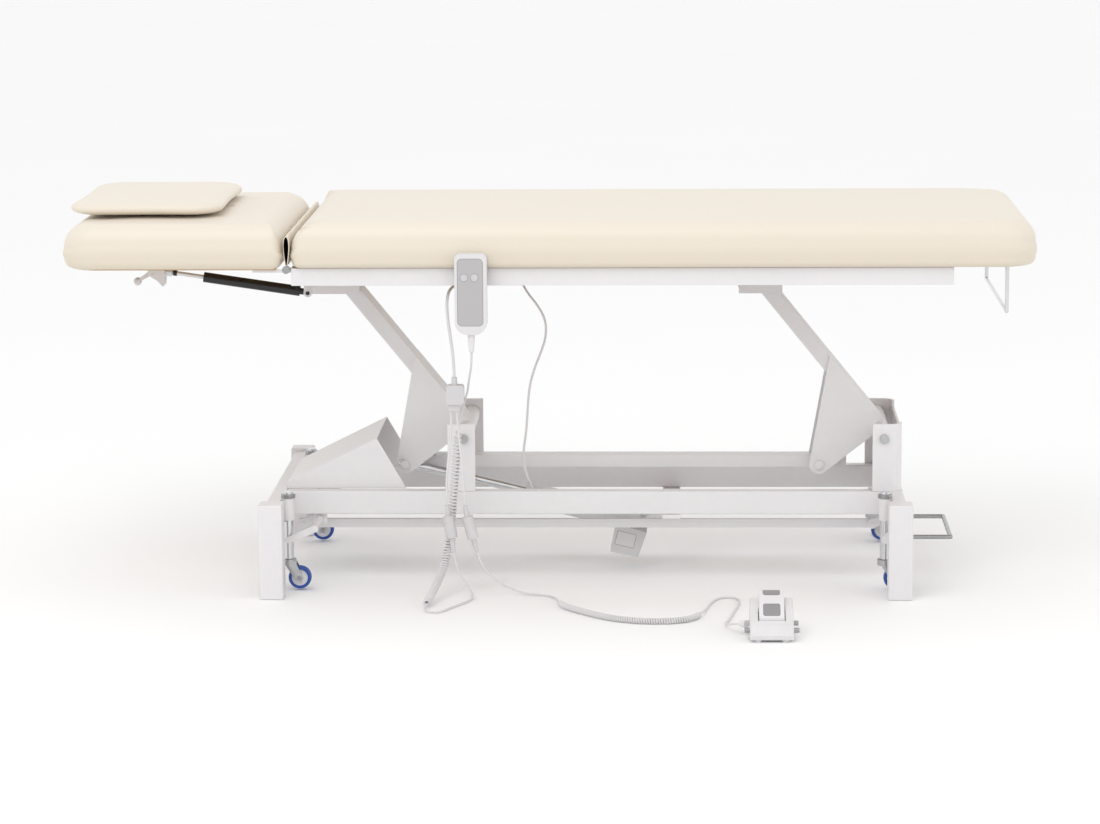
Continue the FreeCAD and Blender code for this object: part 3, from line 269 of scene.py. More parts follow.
# Pivot axles. Turned steel bolts with a thin bright zinc plating, pushed through the posts and the
# hubs of the lift's arms.
def zinc_plate():
    """Zinc plating: bright, with a fine brushed grain and slightly bluish patches."""
    material, shader, start, place = new_finish("zinc_plating")
    patch = start.node("TexNoise", Vector=place, Scale=90.0, Detail=3.0)
    grain = start.node("TexNoise", Vector=place, Scale=1400.0, Detail=2.0)
    connect(shader, Base_Color=patch.mix(rgb(172, 174, 177), rgb(196, 196, 197)), Metallic=1.0,
            Roughness=0.24 + 0.16 * patch,
            Normal=start.node("Bump", Height=grain, Strength=0.08, Distance=0.0002))
    return material


zinc = zinc_plate()
dress("pivot_axles", zinc, "zinc_steel", 0.0010)


# Head brackets, castor carriers and pedal shaft. White like the frame they are bolted or welded to,
# with the hinge bolts, the stems' bushes and the bent pedal bar in bare bright metal.
def axes_of(start, place):
    """The three coordinates of the place, as signals."""
    return [start.node("SeparateXYZ", Vector=place, output=axis) for axis in range(3)]


def part_coated(name, bright):
    """Powder coat, with bare bright metal where the bright signal of the place is 1."""
    material, shader, start, place = new_finish(name)
    metal = bright(*axes_of(start, place))
    dust = start.node("TexNoise", Vector=place, Scale=48.0, Detail=5.0, Roughness=0.7)
    peel = start.node("TexNoise", Vector=place, Scale=620.0, Detail=2.0, Roughness=0.45)
    white = dust.mix(rgb(219, 217, 218), rgb(227, 225, 226))
    steel = dust.mix(rgb(150, 151, 153), rgb(180, 180, 181))
    connect(shader, Base_Color=metal.mix(white, steel), Metallic=metal,
            Roughness=0.36 - 0.14 * metal + 0.10 * dust,
            Normal=start.node("Bump", Height=peel, Strength=0.10, Distance=0.0006))
    return material


def above_limit(signal, limit):
    """1 where the signal is above the limit, 0 below it, over a step of a tenth of a millimetre."""
    return signal.ramp(limit, limit + 0.0001)


hinge_x, hinge_z, bolt_radius, bolts_from = -0.536, 0.684, 0.0083, 0.3072


def on_hinge_bolt(x, y, z):
    """1 near the axis of the head hinge, outside the frame's sides, where its bolt heads are."""
    across = ((x - hinge_x) ** 2 + (z - hinge_z) ** 2) ** 0.5
    outside = ((y - centre_y) ** 2) ** 0.5
    return (1 - above_limit(across, bolt_radius)) * above_limit(outside, bolts_from)


dress("head_brackets", part_coated("coat_and_hinge_bolts", on_hinge_bolt), "steel_white", 0.0008)
bush_from = 0.19605
dress("castor_carriers", part_coated("coat_and_bushes", lambda x, y, z: above_limit(z, bush_from)),
      "steel_white", 0.0008)
pedal_from = 0.7455
dress("right_shaft", part_coated("coat_and_pedal_chrome", lambda x, y, z: above_limit(x, pedal_from)),
      "steel_white", 0.0012)


# Paper roll bar, rods of the actuator and the gas spring, and castor stems. Hard-chromed round steel
# bar, ground to size, with a black lock nut on the spring's rod. The stems slide in the carriers' sleeves.
def chrome_plate():
    """Hard chrome: mirror-like, with the faintest drawn lines."""
    material, shader, start, place = new_finish("hard_chrome")
    haze = start.node("TexNoise", Vector=place, Scale=60.0, Detail=2.0)
    connect(shader, Base_Color=haze.mix(rgb(205, 206, 208), rgb(222, 223, 225)), Metallic=1.0,
            Roughness=0.10 + 0.08 * haze)
    return material


chrome = chrome_plate()
for node in ("paper_roll_holder", "actuator_rod"):
    dress(node, chrome, "chrome_steel", 0.0010)


def rod_with_nut():
    """Satin bar, black where the place along it is that of the lock nut: its distance from the spring's
    rear pin is ((x - x0)^2 + (z - z0)^2)^0.5."""
    material, shader, start, place = new_finish("rod_and_lock_nut")
    x, _, z = axes_of(start, place)
    along = ((x - gas_pin[0]) ** 2 + (z - gas_pin[1]) ** 2) ** 0.5
    nut = above_limit(along, nut_from) * (1 - above_limit(along, nut_to))
    haze = start.node("TexNoise", Vector=place, Scale=60.0, Detail=2.0)
    bright = haze.mix(rgb(208, 209, 211), rgb(224, 225, 227))
    connect(shader, Base_Color=nut.mix(bright, rgb(24, 24, 25)), Metallic=0.45 - 0.45 * nut,
            Roughness=0.30 + 0.08 * haze)
    return material


gas_pin, nut_from, nut_to = (-0.523, 0.594984), 0.2838, 0.2925
dress("gas_rod", rod_with_nut(), "chrome_steel", 0.0008)
dress("castor_stems", chrome, "zinc_steel", 0.0010)


# Gas spring cylinder. Steel tube with black lacquer, pinned to the top frame.
def black_lacquer(name, gloss):
    """Black lacquer: deep, with a slight ripple."""
    material, shader, start, place = new_finish(name)
    ripple = start.node("TexNoise", Vector=place, Scale=220.0, Detail=2.0)
    tone = ripple.mix(rgb(18, 18, 19), rgb(30, 30, 31))
    connect(shader, Base_Color=tone, Roughness=gloss + 0.08 * ripple,
            Normal=start.node("Bump", Height=ripple, Strength=0.05, Distance=0.0004))
    return material


dress("gas_cylinder", black_lacquer("black_lacquer", 0.22), "black_steel", 0.0012, 3)


# Release lever and control box. The lever is cast, painted silver and pinned to the head bracket. The
# box is moulded, with a fine, even grain, and screwed up under the board.
def moulded(name, tone, rough, grain_size=900.0, depth=0.16):
    """Moulded plastic: spark-eroded grain, a little tone variation."""
    material, shader, start, place = new_finish(name)
    grain = start.node("TexNoise", Vector=place, Scale=grain_size, Detail=3.0, Roughness=0.6)
    broad = start.node("TexNoise", Vector=place, Scale=14.0, Detail=2.0)
    connect(shader, Base_Color=broad.ramp(0.3, 0.7).mix(deeper(tone, 0.92), tone),
            Roughness=rough + 0.10 * grain,
            Normal=start.node("Bump", Height=grain, Strength=depth, Distance=0.0003))
    return material


silver = moulded("silver_paint", rgb(222, 221, 222), 0.34, 700.0, 0.06)
dress("release_lever", silver, "knob_black", 0.0008)
housing_grey = moulded("housing_grey", rgb(214, 212, 213), 0.42)
dress("control_box", housing_grey, "actuator_grey", 0.0030, 3)


# Boards under the padding. Birch plywood, cut on a saw, with its layers showing at the edges, and
# screwed down on the top frame and the head brackets.
def plywood():
    """Plywood: long grain streaks along X, and layers 1.5 mm thick through Z."""
    material, shader, start, place = new_finish("birch_plywood")
    stretched = start.node("Mapping", Vector=place, Scale=(3.0, 60.0, 60.0))
    grain = start.node("TexNoise", Vector=stretched, Scale=2.2, Detail=6.0, Roughness=0.6)
    layer = start.node("TexWave", {"bands_direction": "Z"}, Vector=place, Scale=210.0, Distortion=0.6)
    streak = (grain * 0.75 + layer * 0.25).ramp(0.25, 0.75)
    connect(shader, Base_Color=streak.mix(rgb(150, 112, 72), rgb(206, 172, 124)),
            Roughness=0.62 + 0.2 * grain,
            Normal=start.node("Bump", Height=grain, Strength=0.25, Distance=0.0004))
    return material


birch = plywood()
dress("main_board", birch, "plywood", 0.0010)
dress("head_board", birch, "plywood", 0.0010)


# Padding. Two foam blocks glued on the boards and wrapped tightly in cream vinyl with a fine leather
# grain, which is stapled to the boards' undersides.
def vinyl(name, painted_lit_tone, painted_shade_tone, low, high):
    """Vinyl: cells about 1 mm across pressed into it, and painted shade that makes it warmer and deeper in
    tone towards its lower edge.
    """
    material, shader, start, place = new_finish(name)
    cells = start.node("TexVoronoi", {"feature": "DISTANCE_TO_EDGE"}, Vector=place, Scale=900.0)
    crease = start.node("TexNoise", Vector=place, Scale=260.0, Detail=4.0, Roughness=0.6)
    broad = start.node("TexNoise", Vector=place, Scale=4.0, Detail=3.0)
    height = start.node("SeparateXYZ", Vector=place, output=2)
    # Painted shade: below the height band the tone goes to the darker, warmer shaded tone, and the top keeps
    # the lit tone; a broad noise adds random unevenness.
    tone = (height.ramp(low, high) * 0.8 + broad * 0.2).mix(painted_shade_tone, painted_lit_tone)
    grain = cells.ramp(0.0, 0.12) * 0.6 + crease * 0.4
    connect(shader, Base_Color=tone, Roughness=0.40 + 0.12 * crease,
            Normal=start.node("Bump", Height=grain, Strength=0.18, Distance=0.0004))
    shader.inputs["Sheen Weight"].default_value = 0.08
    return material


def outline(half_x, half_y, corner_low, corner_high, inset, count=40, longest=0.02, step=0.012):
    """Points round a rectangle moved in by the inset, with one corner radius for each end in X.

    A side of the rectangle is a straight line and a corner a quarter circle about a point that lies
    the corner radius in from both sides. A side longer than the longest gap is divided into steps.
    """
    ring = []
    for sign_x, sign_y, radius, start in ((1, -1, corner_high, -90), (1, 1, corner_high, 0),
                                          (-1, 1, corner_low, 90), (-1, -1, corner_low, 180)):
        turn = np.radians(start + np.linspace(0, 90, count))
        own = min(max(radius - inset, 1e-4), max(half_y - inset, 1e-4))
        arc_x = sign_x * (half_x - inset - own)
        arc_y = sign_y * (half_y - inset - own)
        ring.append(np.stack([arc_x + own * np.cos(turn), arc_y + own * np.sin(turn)], 1))
    corners = np.concatenate(ring)
    gap = np.roll(corners, -1, axis=0) - corners
    long = np.linalg.norm(gap, axis=1)
    parts = 1 + np.where(long > longest, (long / step).astype(int), 0)
    here = np.repeat(np.arange(len(corners)), parts)
    past = np.arange(parts.sum()) - np.repeat(np.cumsum(parts) - parts, parts)
    return corners[here] + (past / parts[here])[:, None] * gap[here]


def run_round(ring):
    """The ring closed, and the share of its length at each of its points."""
    closed = np.concatenate([ring, ring[:1]])
    run = np.concatenate([[0], np.cumsum(np.linalg.norm(np.diff(closed, axis=0), axis=1))])
    return closed, run / run[-1]


def resample(ring, shares):
    """The ring again, with its points at the given shares of its length."""
    closed, run = run_round(ring)
    return np.stack([np.interp(shares, run, closed[:, axis]) for axis in (0, 1)], 1)


def grid_mesh(name, points, close_around=True, cap_first=False, cap_last=False):
    """Quads over a grid of points (rings, points in a ring, 3), closed round each ring where asked."""
    rings, count = points.shape[:2]
    index = np.arange(rings * count).reshape(rings, count)
    across = np.roll(index, -1, axis=1) if close_around else index[:, 1:]
    here = index if close_around else index[:, :-1]
    quads = np.stack([here[:-1], across[:-1], across[1:], here[1:]], -1).reshape(-1, 4)
    faces = quads.tolist()
    if cap_first:
        faces.append(index[0][::-1].tolist())
    if cap_last:
        faces.append(index[-1].tolist())
    mesh = bpy.data.meshes.new(name)
    mesh.from_pydata(points.reshape(-1, 3).tolist(), [], faces)
    mesh.validate()
    return mesh


def close_up(mesh, near=1e-5):
    """Merges points that meet and turns all faces outwards."""
    work = bmesh.new()
    work.from_mesh(mesh)
    bmesh.ops.remove_doubles(work, verts=work.verts, dist=near)
    bmesh.ops.dissolve_degenerate(work, edges=work.edges, dist=near)
    bmesh.ops.recalc_face_normals(work, faces=work.faces)
    for face in work.faces:
        face.smooth = True
    work.to_mesh(mesh)
    work.free()
    return mesh


def ease(share):
    """0 to 1 with no kink at either end: s^2 * (3 - 2s)."""
    share = np.clip(share, 0, 1)
    return share ** 2 * (3 - 2 * share)


def pad_mesh(name, box, ends, edge, end_edge, hinge_edge, hinge_at_left, under_edge, crown=0.004,
             bulge=0.0025):
    """Padded section. Each ring is the plan outline moved in by a distance d, at the height of an arc:
    z = top - R + sqrt(R^2 - (R - d)^2) while d is below the edge radius R, and top plus the crown after it.
    R grows from the edge radius to the hinge edge radius near the hinge end, and to the end edge radius
    near the outer end. Below the arc the side is upright and bulges a little, and its foot turns in
    under the board with a smaller arc.
    """
    low, high = np.array(box)
    centre = (low + high) / 2
    half_x, half_y = (high - low)[:2] / 2
    top, bottom = high[2] - crown, low[2]
    first = outline(half_x, half_y, *ends, 0)
    shares = run_round(first)[1][:-1]
    to_hinge = first[:, 0] * (-1 if hinge_at_left else 1)
    radius = edge + (hinge_edge - edge) * ease((to_hinge - (half_x - 0.02)) / 0.02) \
        + (end_edge - edge) * ease((-to_hinge - (half_x - 0.06)) / 0.06)
    layers = []

    def shape(inset):
        return resample(outline(half_x, half_y, *ends, inset), shares)

    def mixed_shape(inset):
        least, most = shape(inset.min()), shape(inset.max())
        return least + ((inset - inset.min()) / max(np.ptp(inset), 1e-9))[:, None] * (most - least)

    def layer(ring, height):
        layers.append(np.column_stack([ring + centre[:2], np.broadcast_to(height, len(ring))]))

    layer(shape(under_edge + 0.020), bottom + 0.0005)
    for turn in np.radians(np.linspace(0, 90, 7)):
        layer(shape(under_edge * (1 - math.sin(turn))), bottom + under_edge * (1 - math.cos(turn)))
    side = shape(0)
    for part in np.linspace(0.08, 1, 14):
        out = bulge * math.sin(math.pi * min(part, 0.999)) ** 1.5
        layer(side + out * side / np.abs(side).max(0),
              bottom + under_edge + part * (top - radius - bottom - under_edge))
    for turn in np.radians(np.linspace(6, 90, 15)):
        layer(mixed_shape(radius * (1 - np.cos(turn))), top - radius + radius * np.sin(turn))
    for part in np.linspace(0.04, 1, 26) ** 1.15:
        ring = mixed_shape(radius + part * (half_y - 0.0005 - radius))
        across = np.clip(1 - (ring[:, 1] / (half_y - radius)) ** 2, 0, 1)
        along = ease((half_x - radius - np.abs(ring[:, 0])) / 0.12)
        layer(ring, top + crown * across * along)
    return close_up(grid_mesh(name, np.stack(layers), cap_first=True, cap_last=True), 2e-5)


# Painted shade: the second tone, reached below 0.688 m, darkens the cushions' sides.
cream = vinyl("cream_vinyl", rgb(227, 218, 204), rgb(217, 206, 187), low=0.688, high=0.76)
main_form = pad_mesh("mattress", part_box("main_cushion"), ends=(0.024, 0.075), edge=0.036, end_edge=0.046,
                     hinge_edge=0.058, hinge_at_left=True, under_edge=0.014)
main_pad = add_piece("mattress", main_form, "top", cream, "vinyl_cream", "main_cushion")
head_form = pad_mesh("head_section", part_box("head_cushion"), ends=(0.064, 0.024), edge=0.036, end_edge=0.052,
                     hinge_edge=0.058, hinge_at_left=False, under_edge=0.020)
head_pad = add_piece("head_section", head_form, "head", cream, "vinyl_cream", "head_cushion")


# Pillow. A thin loose cushion of soft foam in the same vinyl, two panels sewn together at mid-height.
# It only lies on the head section.
def pillow_mesh(name, box, corner=0.070, border=0.062, power=2.6):
    """Crowned closed form: half thickness = t * (1 - (1 - d / w)^p)^(1/p) for a point d in from the edge,
    up to the width w of the rounded border, and the sides pull in between the corners."""
    low, high = np.array(box)
    centre = (low + high) / 2
    half_x, half_y, half_z = (high - low) / 2
    first = outline(half_x, half_y, corner, corner, 0)
    shares = run_round(first)[1][:-1]
    waist = 0.006 * (np.cos(np.pi * np.clip(first[:, 0] / half_x, -1, 1)) + 1) / 2 \
        + 0.004 * (np.cos(np.pi * np.clip(first[:, 1] / half_y, -1, 1)) + 1) / 2
    pull = -waist[:, None] * first / np.linalg.norm(first, axis=1)[:, None]
    insets = np.concatenate([border * (1 - np.cos(np.linspace(0, math.pi / 2, 16))),
                             np.linspace(border, half_x - 0.0008, 18)[1:]])

    def layer(inset, thick):
        rise = (1 - (1 - min(inset / border, 1)) ** power) ** (1 / power)
        swell = 0.86 + 0.14 * np.clip(inset / (half_x - 0.001), 0, 1)
        ring = resample(outline(half_x, half_y, corner, corner, inset), shares) + pull * (1 - inset / half_x)
        return np.column_stack([ring + centre[:2], np.full(len(ring), centre[2] + thick * rise * swell)])

    layers = [layer(inset, -0.98 * half_z) for inset in insets[::-1]] \
        + [layer(inset, half_z) for inset in insets[1:]]
    return close_up(grid_mesh(name, np.stack(layers), cap_first=True, cap_last=True), 2e-5)


pillow = add_piece("pillow_pad", pillow_mesh("pillow_pad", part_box("pillow")), "pillow", cream, "vinyl_cream",
                   "pillow")


# Gap flap. A strip of the same vinyl with a brown cloth backing, folded over the hinge gap and held
# by both sections.
gap_x, gap_foot, gap_floor = -0.534, 0.694, 0.70
fold_half_wide, fold_tall, strip_half_long = 0.0096, 0.060, 0.322


def flap_mesh():
    """Folded strip: across the gap it follows x = w * cos(a) * (0.12 + 0.88 * sin(a)^0.7), pinched at its
    foot, and z = h * sin(a)^0.8, for a from 180 to 0 degrees, carried along Y."""
    turn = np.linspace(math.pi, 0, 33)
    x = gap_x + fold_half_wide * np.cos(turn) * (0.12 + 0.88 * np.abs(np.sin(turn)) ** 0.7)
    z = gap_foot + fold_tall * np.sin(turn) ** 0.8
    y = centre_y + np.linspace(-strip_half_long, strip_half_long, 60)
    ripple = 0.0006 * np.sin(y * 61.0) + 0.0004 * np.sin(y * 143.0 + 1.0)
    points = np.empty((len(y), len(turn), 3))
    points[..., 0] = x[None, :]
    points[..., 1] = y[:, None]
    points[..., 2] = z[None, :] + ripple[:, None] * np.sin(turn)[None, :]
    return close_up(grid_mesh("gap_strip", points, close_around=False))


flap = bpy.data.objects.new("gap_strip", flap_mesh())
bpy.context.collection.objects.link(flap)
flap.data.materials.append(cream)
flap.data.materials.append(moulded("brown_backing", rgb(74, 44, 30), 0.85, 1500.0, 0.5))
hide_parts("gap_flap")
thick = flap.modifiers.new("thickness", "SOLIDIFY")
thick.thickness = 0.0012
thick.offset = 0
thick.material_offset = 1
thick.material_offset_rim = 0
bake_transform(flap)


# Castors. Solid blue rubber tyres pressed on pale nylon wheels, which turn on a pin with a cap at
# each end, in pressed and zinc-plated steel forks.
def lathe(name, profile, centre, axis, steps=48):
    """Profile of (radius, distance along the axis) pairs turned round the axis through the centre."""
    profile = np.array(profile)
    turn = np.linspace(0, 2 * math.pi, steps, endpoint=False)
    axis = np.array(axis, float) / np.linalg.norm(axis)
    side = np.cross(axis, (0.0, 0.0, 1.0) if abs(axis[2]) < 0.9 else (1.0, 0.0, 0.0))
    side /= np.linalg.norm(side)
    other = np.cross(axis, side)
    radial = np.cos(turn)[:, None] * side + np.sin(turn)[:, None] * other
    points = np.array(centre) + profile[:, 1, None, None] * axis + profile[:, 0, None, None] * radial[None]
    ring = np.allclose(profile[0], profile[-1])
    return close_up(grid_mesh(name, points, cap_first=not ring and profile[0, 0] > 1e-6,
                              cap_last=not ring and profile[-1, 0] > 1e-6), 1e-6)


def rounded(corners, radius=0.001, steps=4):
    """The profile again with each inner corner cut to a small arc-like run of points."""
    corners = np.array(corners, float)
    out = [corners[0]]
    for before, here, after in zip(corners, corners[1:], corners[2:]):
        back = (before - here) / max(np.linalg.norm(before - here), 1e-9)
        ahead = (after - here) / max(np.linalg.norm(after - here), 1e-9)
        reach = min(radius, 0.45 * np.linalg.norm(before - here), 0.45 * np.linalg.norm(after - here))
        for t in np.linspace(0, 1, steps):
            out.append(here + reach * ((1 - t) ** 2 * back + t ** 2 * ahead))
    out.append(corners[-1])
    return np.array(out)


tyre_blue = moulded("tyre_blue", rgb(38, 78, 160), 0.45, 500.0, 0.10)
nylon = moulded("pale_nylon", rgb(226, 226, 232), 0.38)
cap_grey = moulded("cap_grey", rgb(150, 152, 158), 0.40)
tyre = rounded([(0.0170, -0.0085), (0.0195, -0.0100), (0.0225, -0.0092), (0.0239, -0.0060), (0.0240, 0.0060),
                (0.0225, 0.0092), (0.0195, 0.0100), (0.0170, 0.0085), (0.0170, -0.0085)])
disc = rounded([(0.0, -0.0098), (0.0045, -0.0098), (0.0070, -0.0092), (0.0080, -0.0068), (0.0140, -0.0060),
                (0.0172, -0.0084), (0.0172, 0.0084), (0.0140, 0.0060), (0.0080, 0.0068), (0.0070, 0.0092),
                (0.0045, 0.0098), (0.0, 0.0098)])
cap = rounded([(0.0, 0.0150), (0.0040, 0.0150), (0.0052, 0.0142), (0.0055, 0.0130), (0.0, 0.0130)], 0.0006)
for corner in ("near_left", "far_left", "near_right", "far_right"):
    dress("castor_fork_" + corner, zinc, "fork_white", 0.0012)
    wheel = "castor_wheel_" + corner
    hub = [(a + b) / 2 for a, b in zip(*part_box(wheel))]
    body = body_of_node[wheel]
    add_piece("tyre_" + corner, lathe("tyre_" + corner, tyre, hub, (0, 1, 0)), body, tyre_blue, "tyre_blue",
              wheel)
    add_piece("hub_" + corner, lathe("hub_" + corner, disc, hub, (0, 1, 0)), body, nylon, "tyre_blue")
    for side, mirrored in (("near", (1, -1)), ("far", (1, 1))):
        name = f"hub_cap_{corner}_{side}"
        add_piece(name, lathe(name, cap * mirrored, hub, (0, 1, 0), 24), body, cap_grey, "tyre_blue")


# Actuator. A die-cast motor housing with its tube, a blank rating label and a screw cover on the near
# side, and two wire rings at the end of the rear pin.
def rounded_field(first, second, centre, half, corner):
    """Distance of a place from a rounded rectangle: outside it, the length of the overshoot past the
    corner centres, less the corner radius."""
    past = [((signal - at) ** 2) ** 0.5 - (reach - corner)
            for signal, at, reach in zip((first, second), centre, half)]
    past = [signal.maths("MAXIMUM", signal, 0.0) for signal in past]
    return (past[0] ** 2 + past[1] ** 2) ** 0.5 - corner


def inlaid(name, tone, inlay, rough, field):
    """Moulded plastic with an inlay in another tone where the field is below 0, and a dark line of painted
    shade along its edge for a fine groove.
    """
    material, shader, start, place = new_finish(name)
    off = field(*axes_of(start, place))
    inside = 1 - off.ramp(0.0, 0.00015)
    # Painted shade: the dark grey line along the inlay's edge stands in for the shade in a groove.
    painted_groove_shade = (off ** 2) ** 0.5
    grain = start.node("TexNoise", Vector=place, Scale=900.0, Detail=3.0, Roughness=0.6)
    face = inside.mix(tone, inlay)
    connect(shader, Base_Color=painted_groove_shade.ramp(0.0002, 0.0007).mix(rgb(120, 119, 120), face),
            Roughness=rough + 0.10 * grain,
            Normal=start.node("Bump", Height=grain, Strength=0.16, Distance=0.0003))
    return material


housing_tilt = math.radians(13.42)
label_centre, label_half = (0.155, 0.070), (0.0205, 0.0150)
near_side = centre_y - 0.0676


def on_label(x, y, z):
    """Below 0 on the near side of the motor housing, inside the blank rating label, square to the housing."""
    along = (x - label_centre[0]) * math.cos(housing_tilt) - (z - label_centre[1]) * math.sin(housing_tilt)
    down = (x - label_centre[0]) * math.sin(housing_tilt) + (z - label_centre[1]) * math.cos(housing_tilt)
    return rounded_field(along, down, (0.0, 0.0), label_half, 0.002) + above_limit(y, near_side)


dress("actuator_body", inlaid("housing_and_label", rgb(202, 200, 201), rgb(208, 206, 207), 0.42, on_label),
      "actuator_grey", 0.0030, 3)
screw_cover = rounded([(0.0, -0.0006), (0.0068, -0.0006), (0.0068, 0.0004), (0.0060, 0.0011), (0.0, 0.0011)],
                      0.0004)
cover_place = (0.143, centre_y - 0.0680, 0.1036)
add_piece("motor_screw_cover", lathe("motor_screw_cover", screw_cover, cover_place, (0, -1, 0), 40),
          body_of_node["actuator_body"], cap_grey, "actuator_grey")
ring_radius, wire_radius, pin_end = 0.0042, 0.0007, centre_y - 0.0465
bend = np.linspace(0, 2 * math.pi, 13)
bend[-1] = 0
wire = np.column_stack([ring_radius + wire_radius * np.cos(bend), wire_radius * np.sin(bend)])
for name, x, z in (("pin_ring", 0.2150, 0.1008), ("pin_ring_tail", 0.2225, 0.0962)):
    add_piece(name, lathe(name, wire, (x, pin_end, z), (0, 1, 0), 40),
              body_of_node["actuator_body"], chrome, "chrome_steel")


# Handset. A moulded light grey case with two round keys in a darker panel and a ribbed cord relief. It
# hangs on a hook on the side rail.
case_grey = moulded("case_grey", rgb(226, 224, 225), 0.40)
panel_centre, panel_half, panel_corner = (-0.156, 0.6425), (0.0260, 0.0690), 0.009
front_limit = centre_y - 0.3512


def on_panel(x, y, z):
    """Below 0 on the front of the case, inside the rounded edge of its panel."""
    return rounded_field(x, z, panel_centre, panel_half, panel_corner) + above_limit(y, front_limit)


dress("handset_case", inlaid("case_and_panel", rgb(216, 214, 215), rgb(178, 176, 177), 0.40, on_panel),
      "case_grey", 0.0035, 4)
key_tone = moulded("handset_keys", rgb(200, 198, 199), 0.42)
dress("handset_button_up", key_tone, "button_grey", 0.0006, 3)
dress("handset_button_down", key_tone, "button_grey", 0.0006, 3)
relief_long, rib_pitch, rib_deep = 0.0365, 0.0046, 0.0007
down = np.linspace(0, relief_long, 74)
taper = 0.0072 - 0.0027 * down / 0.038
ribs = np.column_stack([taper + rib_deep * np.abs(np.sin(down / rib_pitch * math.pi)), -down])
ribs = np.vstack([[0.0, 0.0], ribs, [0.0, -relief_long]])
add_piece("handset_relief", lathe("handset_relief", ribs, (-0.155, centre_y - 0.3395, 0.5548), (0, 0, 1), 32),
          body_of_node["handset_case"], case_grey, "case_grey")


# Splitter box and in-line connectors. Small moulded boxes with tapered sleeves on the cables that
# end in them.
def coat_node(node, finish):
    """The node's own solid, shown with a finish."""
    solid = frame["nodes"][node]
    for place in solid.material_slots:
        place.material = finish
    return solid


connector_grey = moulded("connector_grey", rgb(208, 206, 207), 0.42)
splitter = coat_node("splitter", connector_grey)
connectors = coat_node("connectors", connector_grey)


# Foot switch. A light grey wedge housing with a rocker in its well, two darker rubber pads on the
# rocker, clamp knobs at its sides, rubber feet, and a gland for its cord.
switch_x, knob_reach = 0.452, 0.0435
pad_half, pad_offset, pad_corner = (0.0165, 0.0135), 0.0235, 0.004
gland_low, gland_high = centre_y - 0.672, centre_y - 0.640


def on_knobs(x, y, z):
    """1 out beyond the housing's sides, where the clamp knobs are, apart from the cord's gland."""
    beyond = above_limit(((x - switch_x) ** 2) ** 0.5, knob_reach)
    gland = (1 - above_limit(x, switch_x)) * above_limit(y, gland_low) * (1 - above_limit(y, gland_high))
    return beyond * (1 - gland)


def on_pads(x, y, z):
    """Below 0 on the top of the rocker, inside one of the two rubber pads, each side of its pivot."""
    apart = ((y - rocker_y) ** 2) ** 0.5
    return rounded_field(x, apart, (switch_x, pad_offset), pad_half, pad_corner)


rocker_low, rocker_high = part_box("foot_switch_rocker")
rocker_y = (rocker_low[1] + rocker_high[1]) / 2
dress("foot_switch_housing", case_grey, "case_grey", 0.0030, 3)
dress("foot_switch_rocker", inlaid("rocker_and_pads", rgb(226, 224, 226), rgb(146, 145, 147), 0.42, on_pads),
      "button_grey", 0.0020, 3)
switch_fittings = coat_node("foot_switch_fittings", part_coated("fittings_and_knobs", on_knobs))


# Cords. Light grey rubbery cables. The handset's and the foot switch's are curly, each one length from
# end to end: lead, coil and lead.
def cable_finish():
    """Cable sheath: smooth, with a faint drawn ripple and slightly uneven grey."""
    material, shader, start, place = new_finish("cable_sheath")
    ripple = start.node("TexNoise", Vector=place, Scale=300.0, Detail=2.0)
    broad = start.node("TexNoise", Vector=place, Scale=9.0, Detail=2.0)
    connect(shader, Base_Color=broad.mix(rgb(208, 206, 207), rgb(224, 222, 223)),
            Roughness=0.40 + 0.12 * ripple,
            Normal=start.node("Bump", Height=ripple, Strength=0.06, Distance=0.0003))
    return material


sheath = cable_finish()


def in_metres(points):
    """Route in millimetres, with y counted from the table's centre line, as points in the frame."""
    return np.array(points, float) / 1000 + (0, centre_y, 0)


def new_line(name, points):
    """Smooth line with the points as its control points."""
    line = bpy.data.curves.new(name, "CURVE")
    line.dimensions = "3D"
    spline = line.splines.new("NURBS")
    spline.points.add(len(points) - 1)
    spline.points.foreach_set("co", np.column_stack([points, np.ones(len(points))]).ravel())
    spline.order_u = 3
    spline.use_endpoint_u = True
    return line


def read_line(points, resolution=8):
    """Points along the smooth line of a route, and their distances along it."""
    line = new_line("reading", points)
    line.resolution_u = resolution
    holder = bpy.data.objects.new("reading", line)
    mesh = bpy.data.meshes.new_from_object(holder)
    read = np.empty(len(mesh.vertices) * 3)
    mesh.vertices.foreach_get("co", read)
    read = read.reshape(-1, 3)
    bpy.data.objects.remove(holder)
    bpy.data.curves.remove(line)
    bpy.data.meshes.remove(mesh)
    step = np.linalg.norm(np.diff(read, axis=0), axis=1)
    keep = np.concatenate([[True], step > 1e-7])
    read = read[keep]
    run = np.concatenate([[0], np.cumsum(np.linalg.norm(np.diff(read, axis=0), axis=1))])
    return read, run


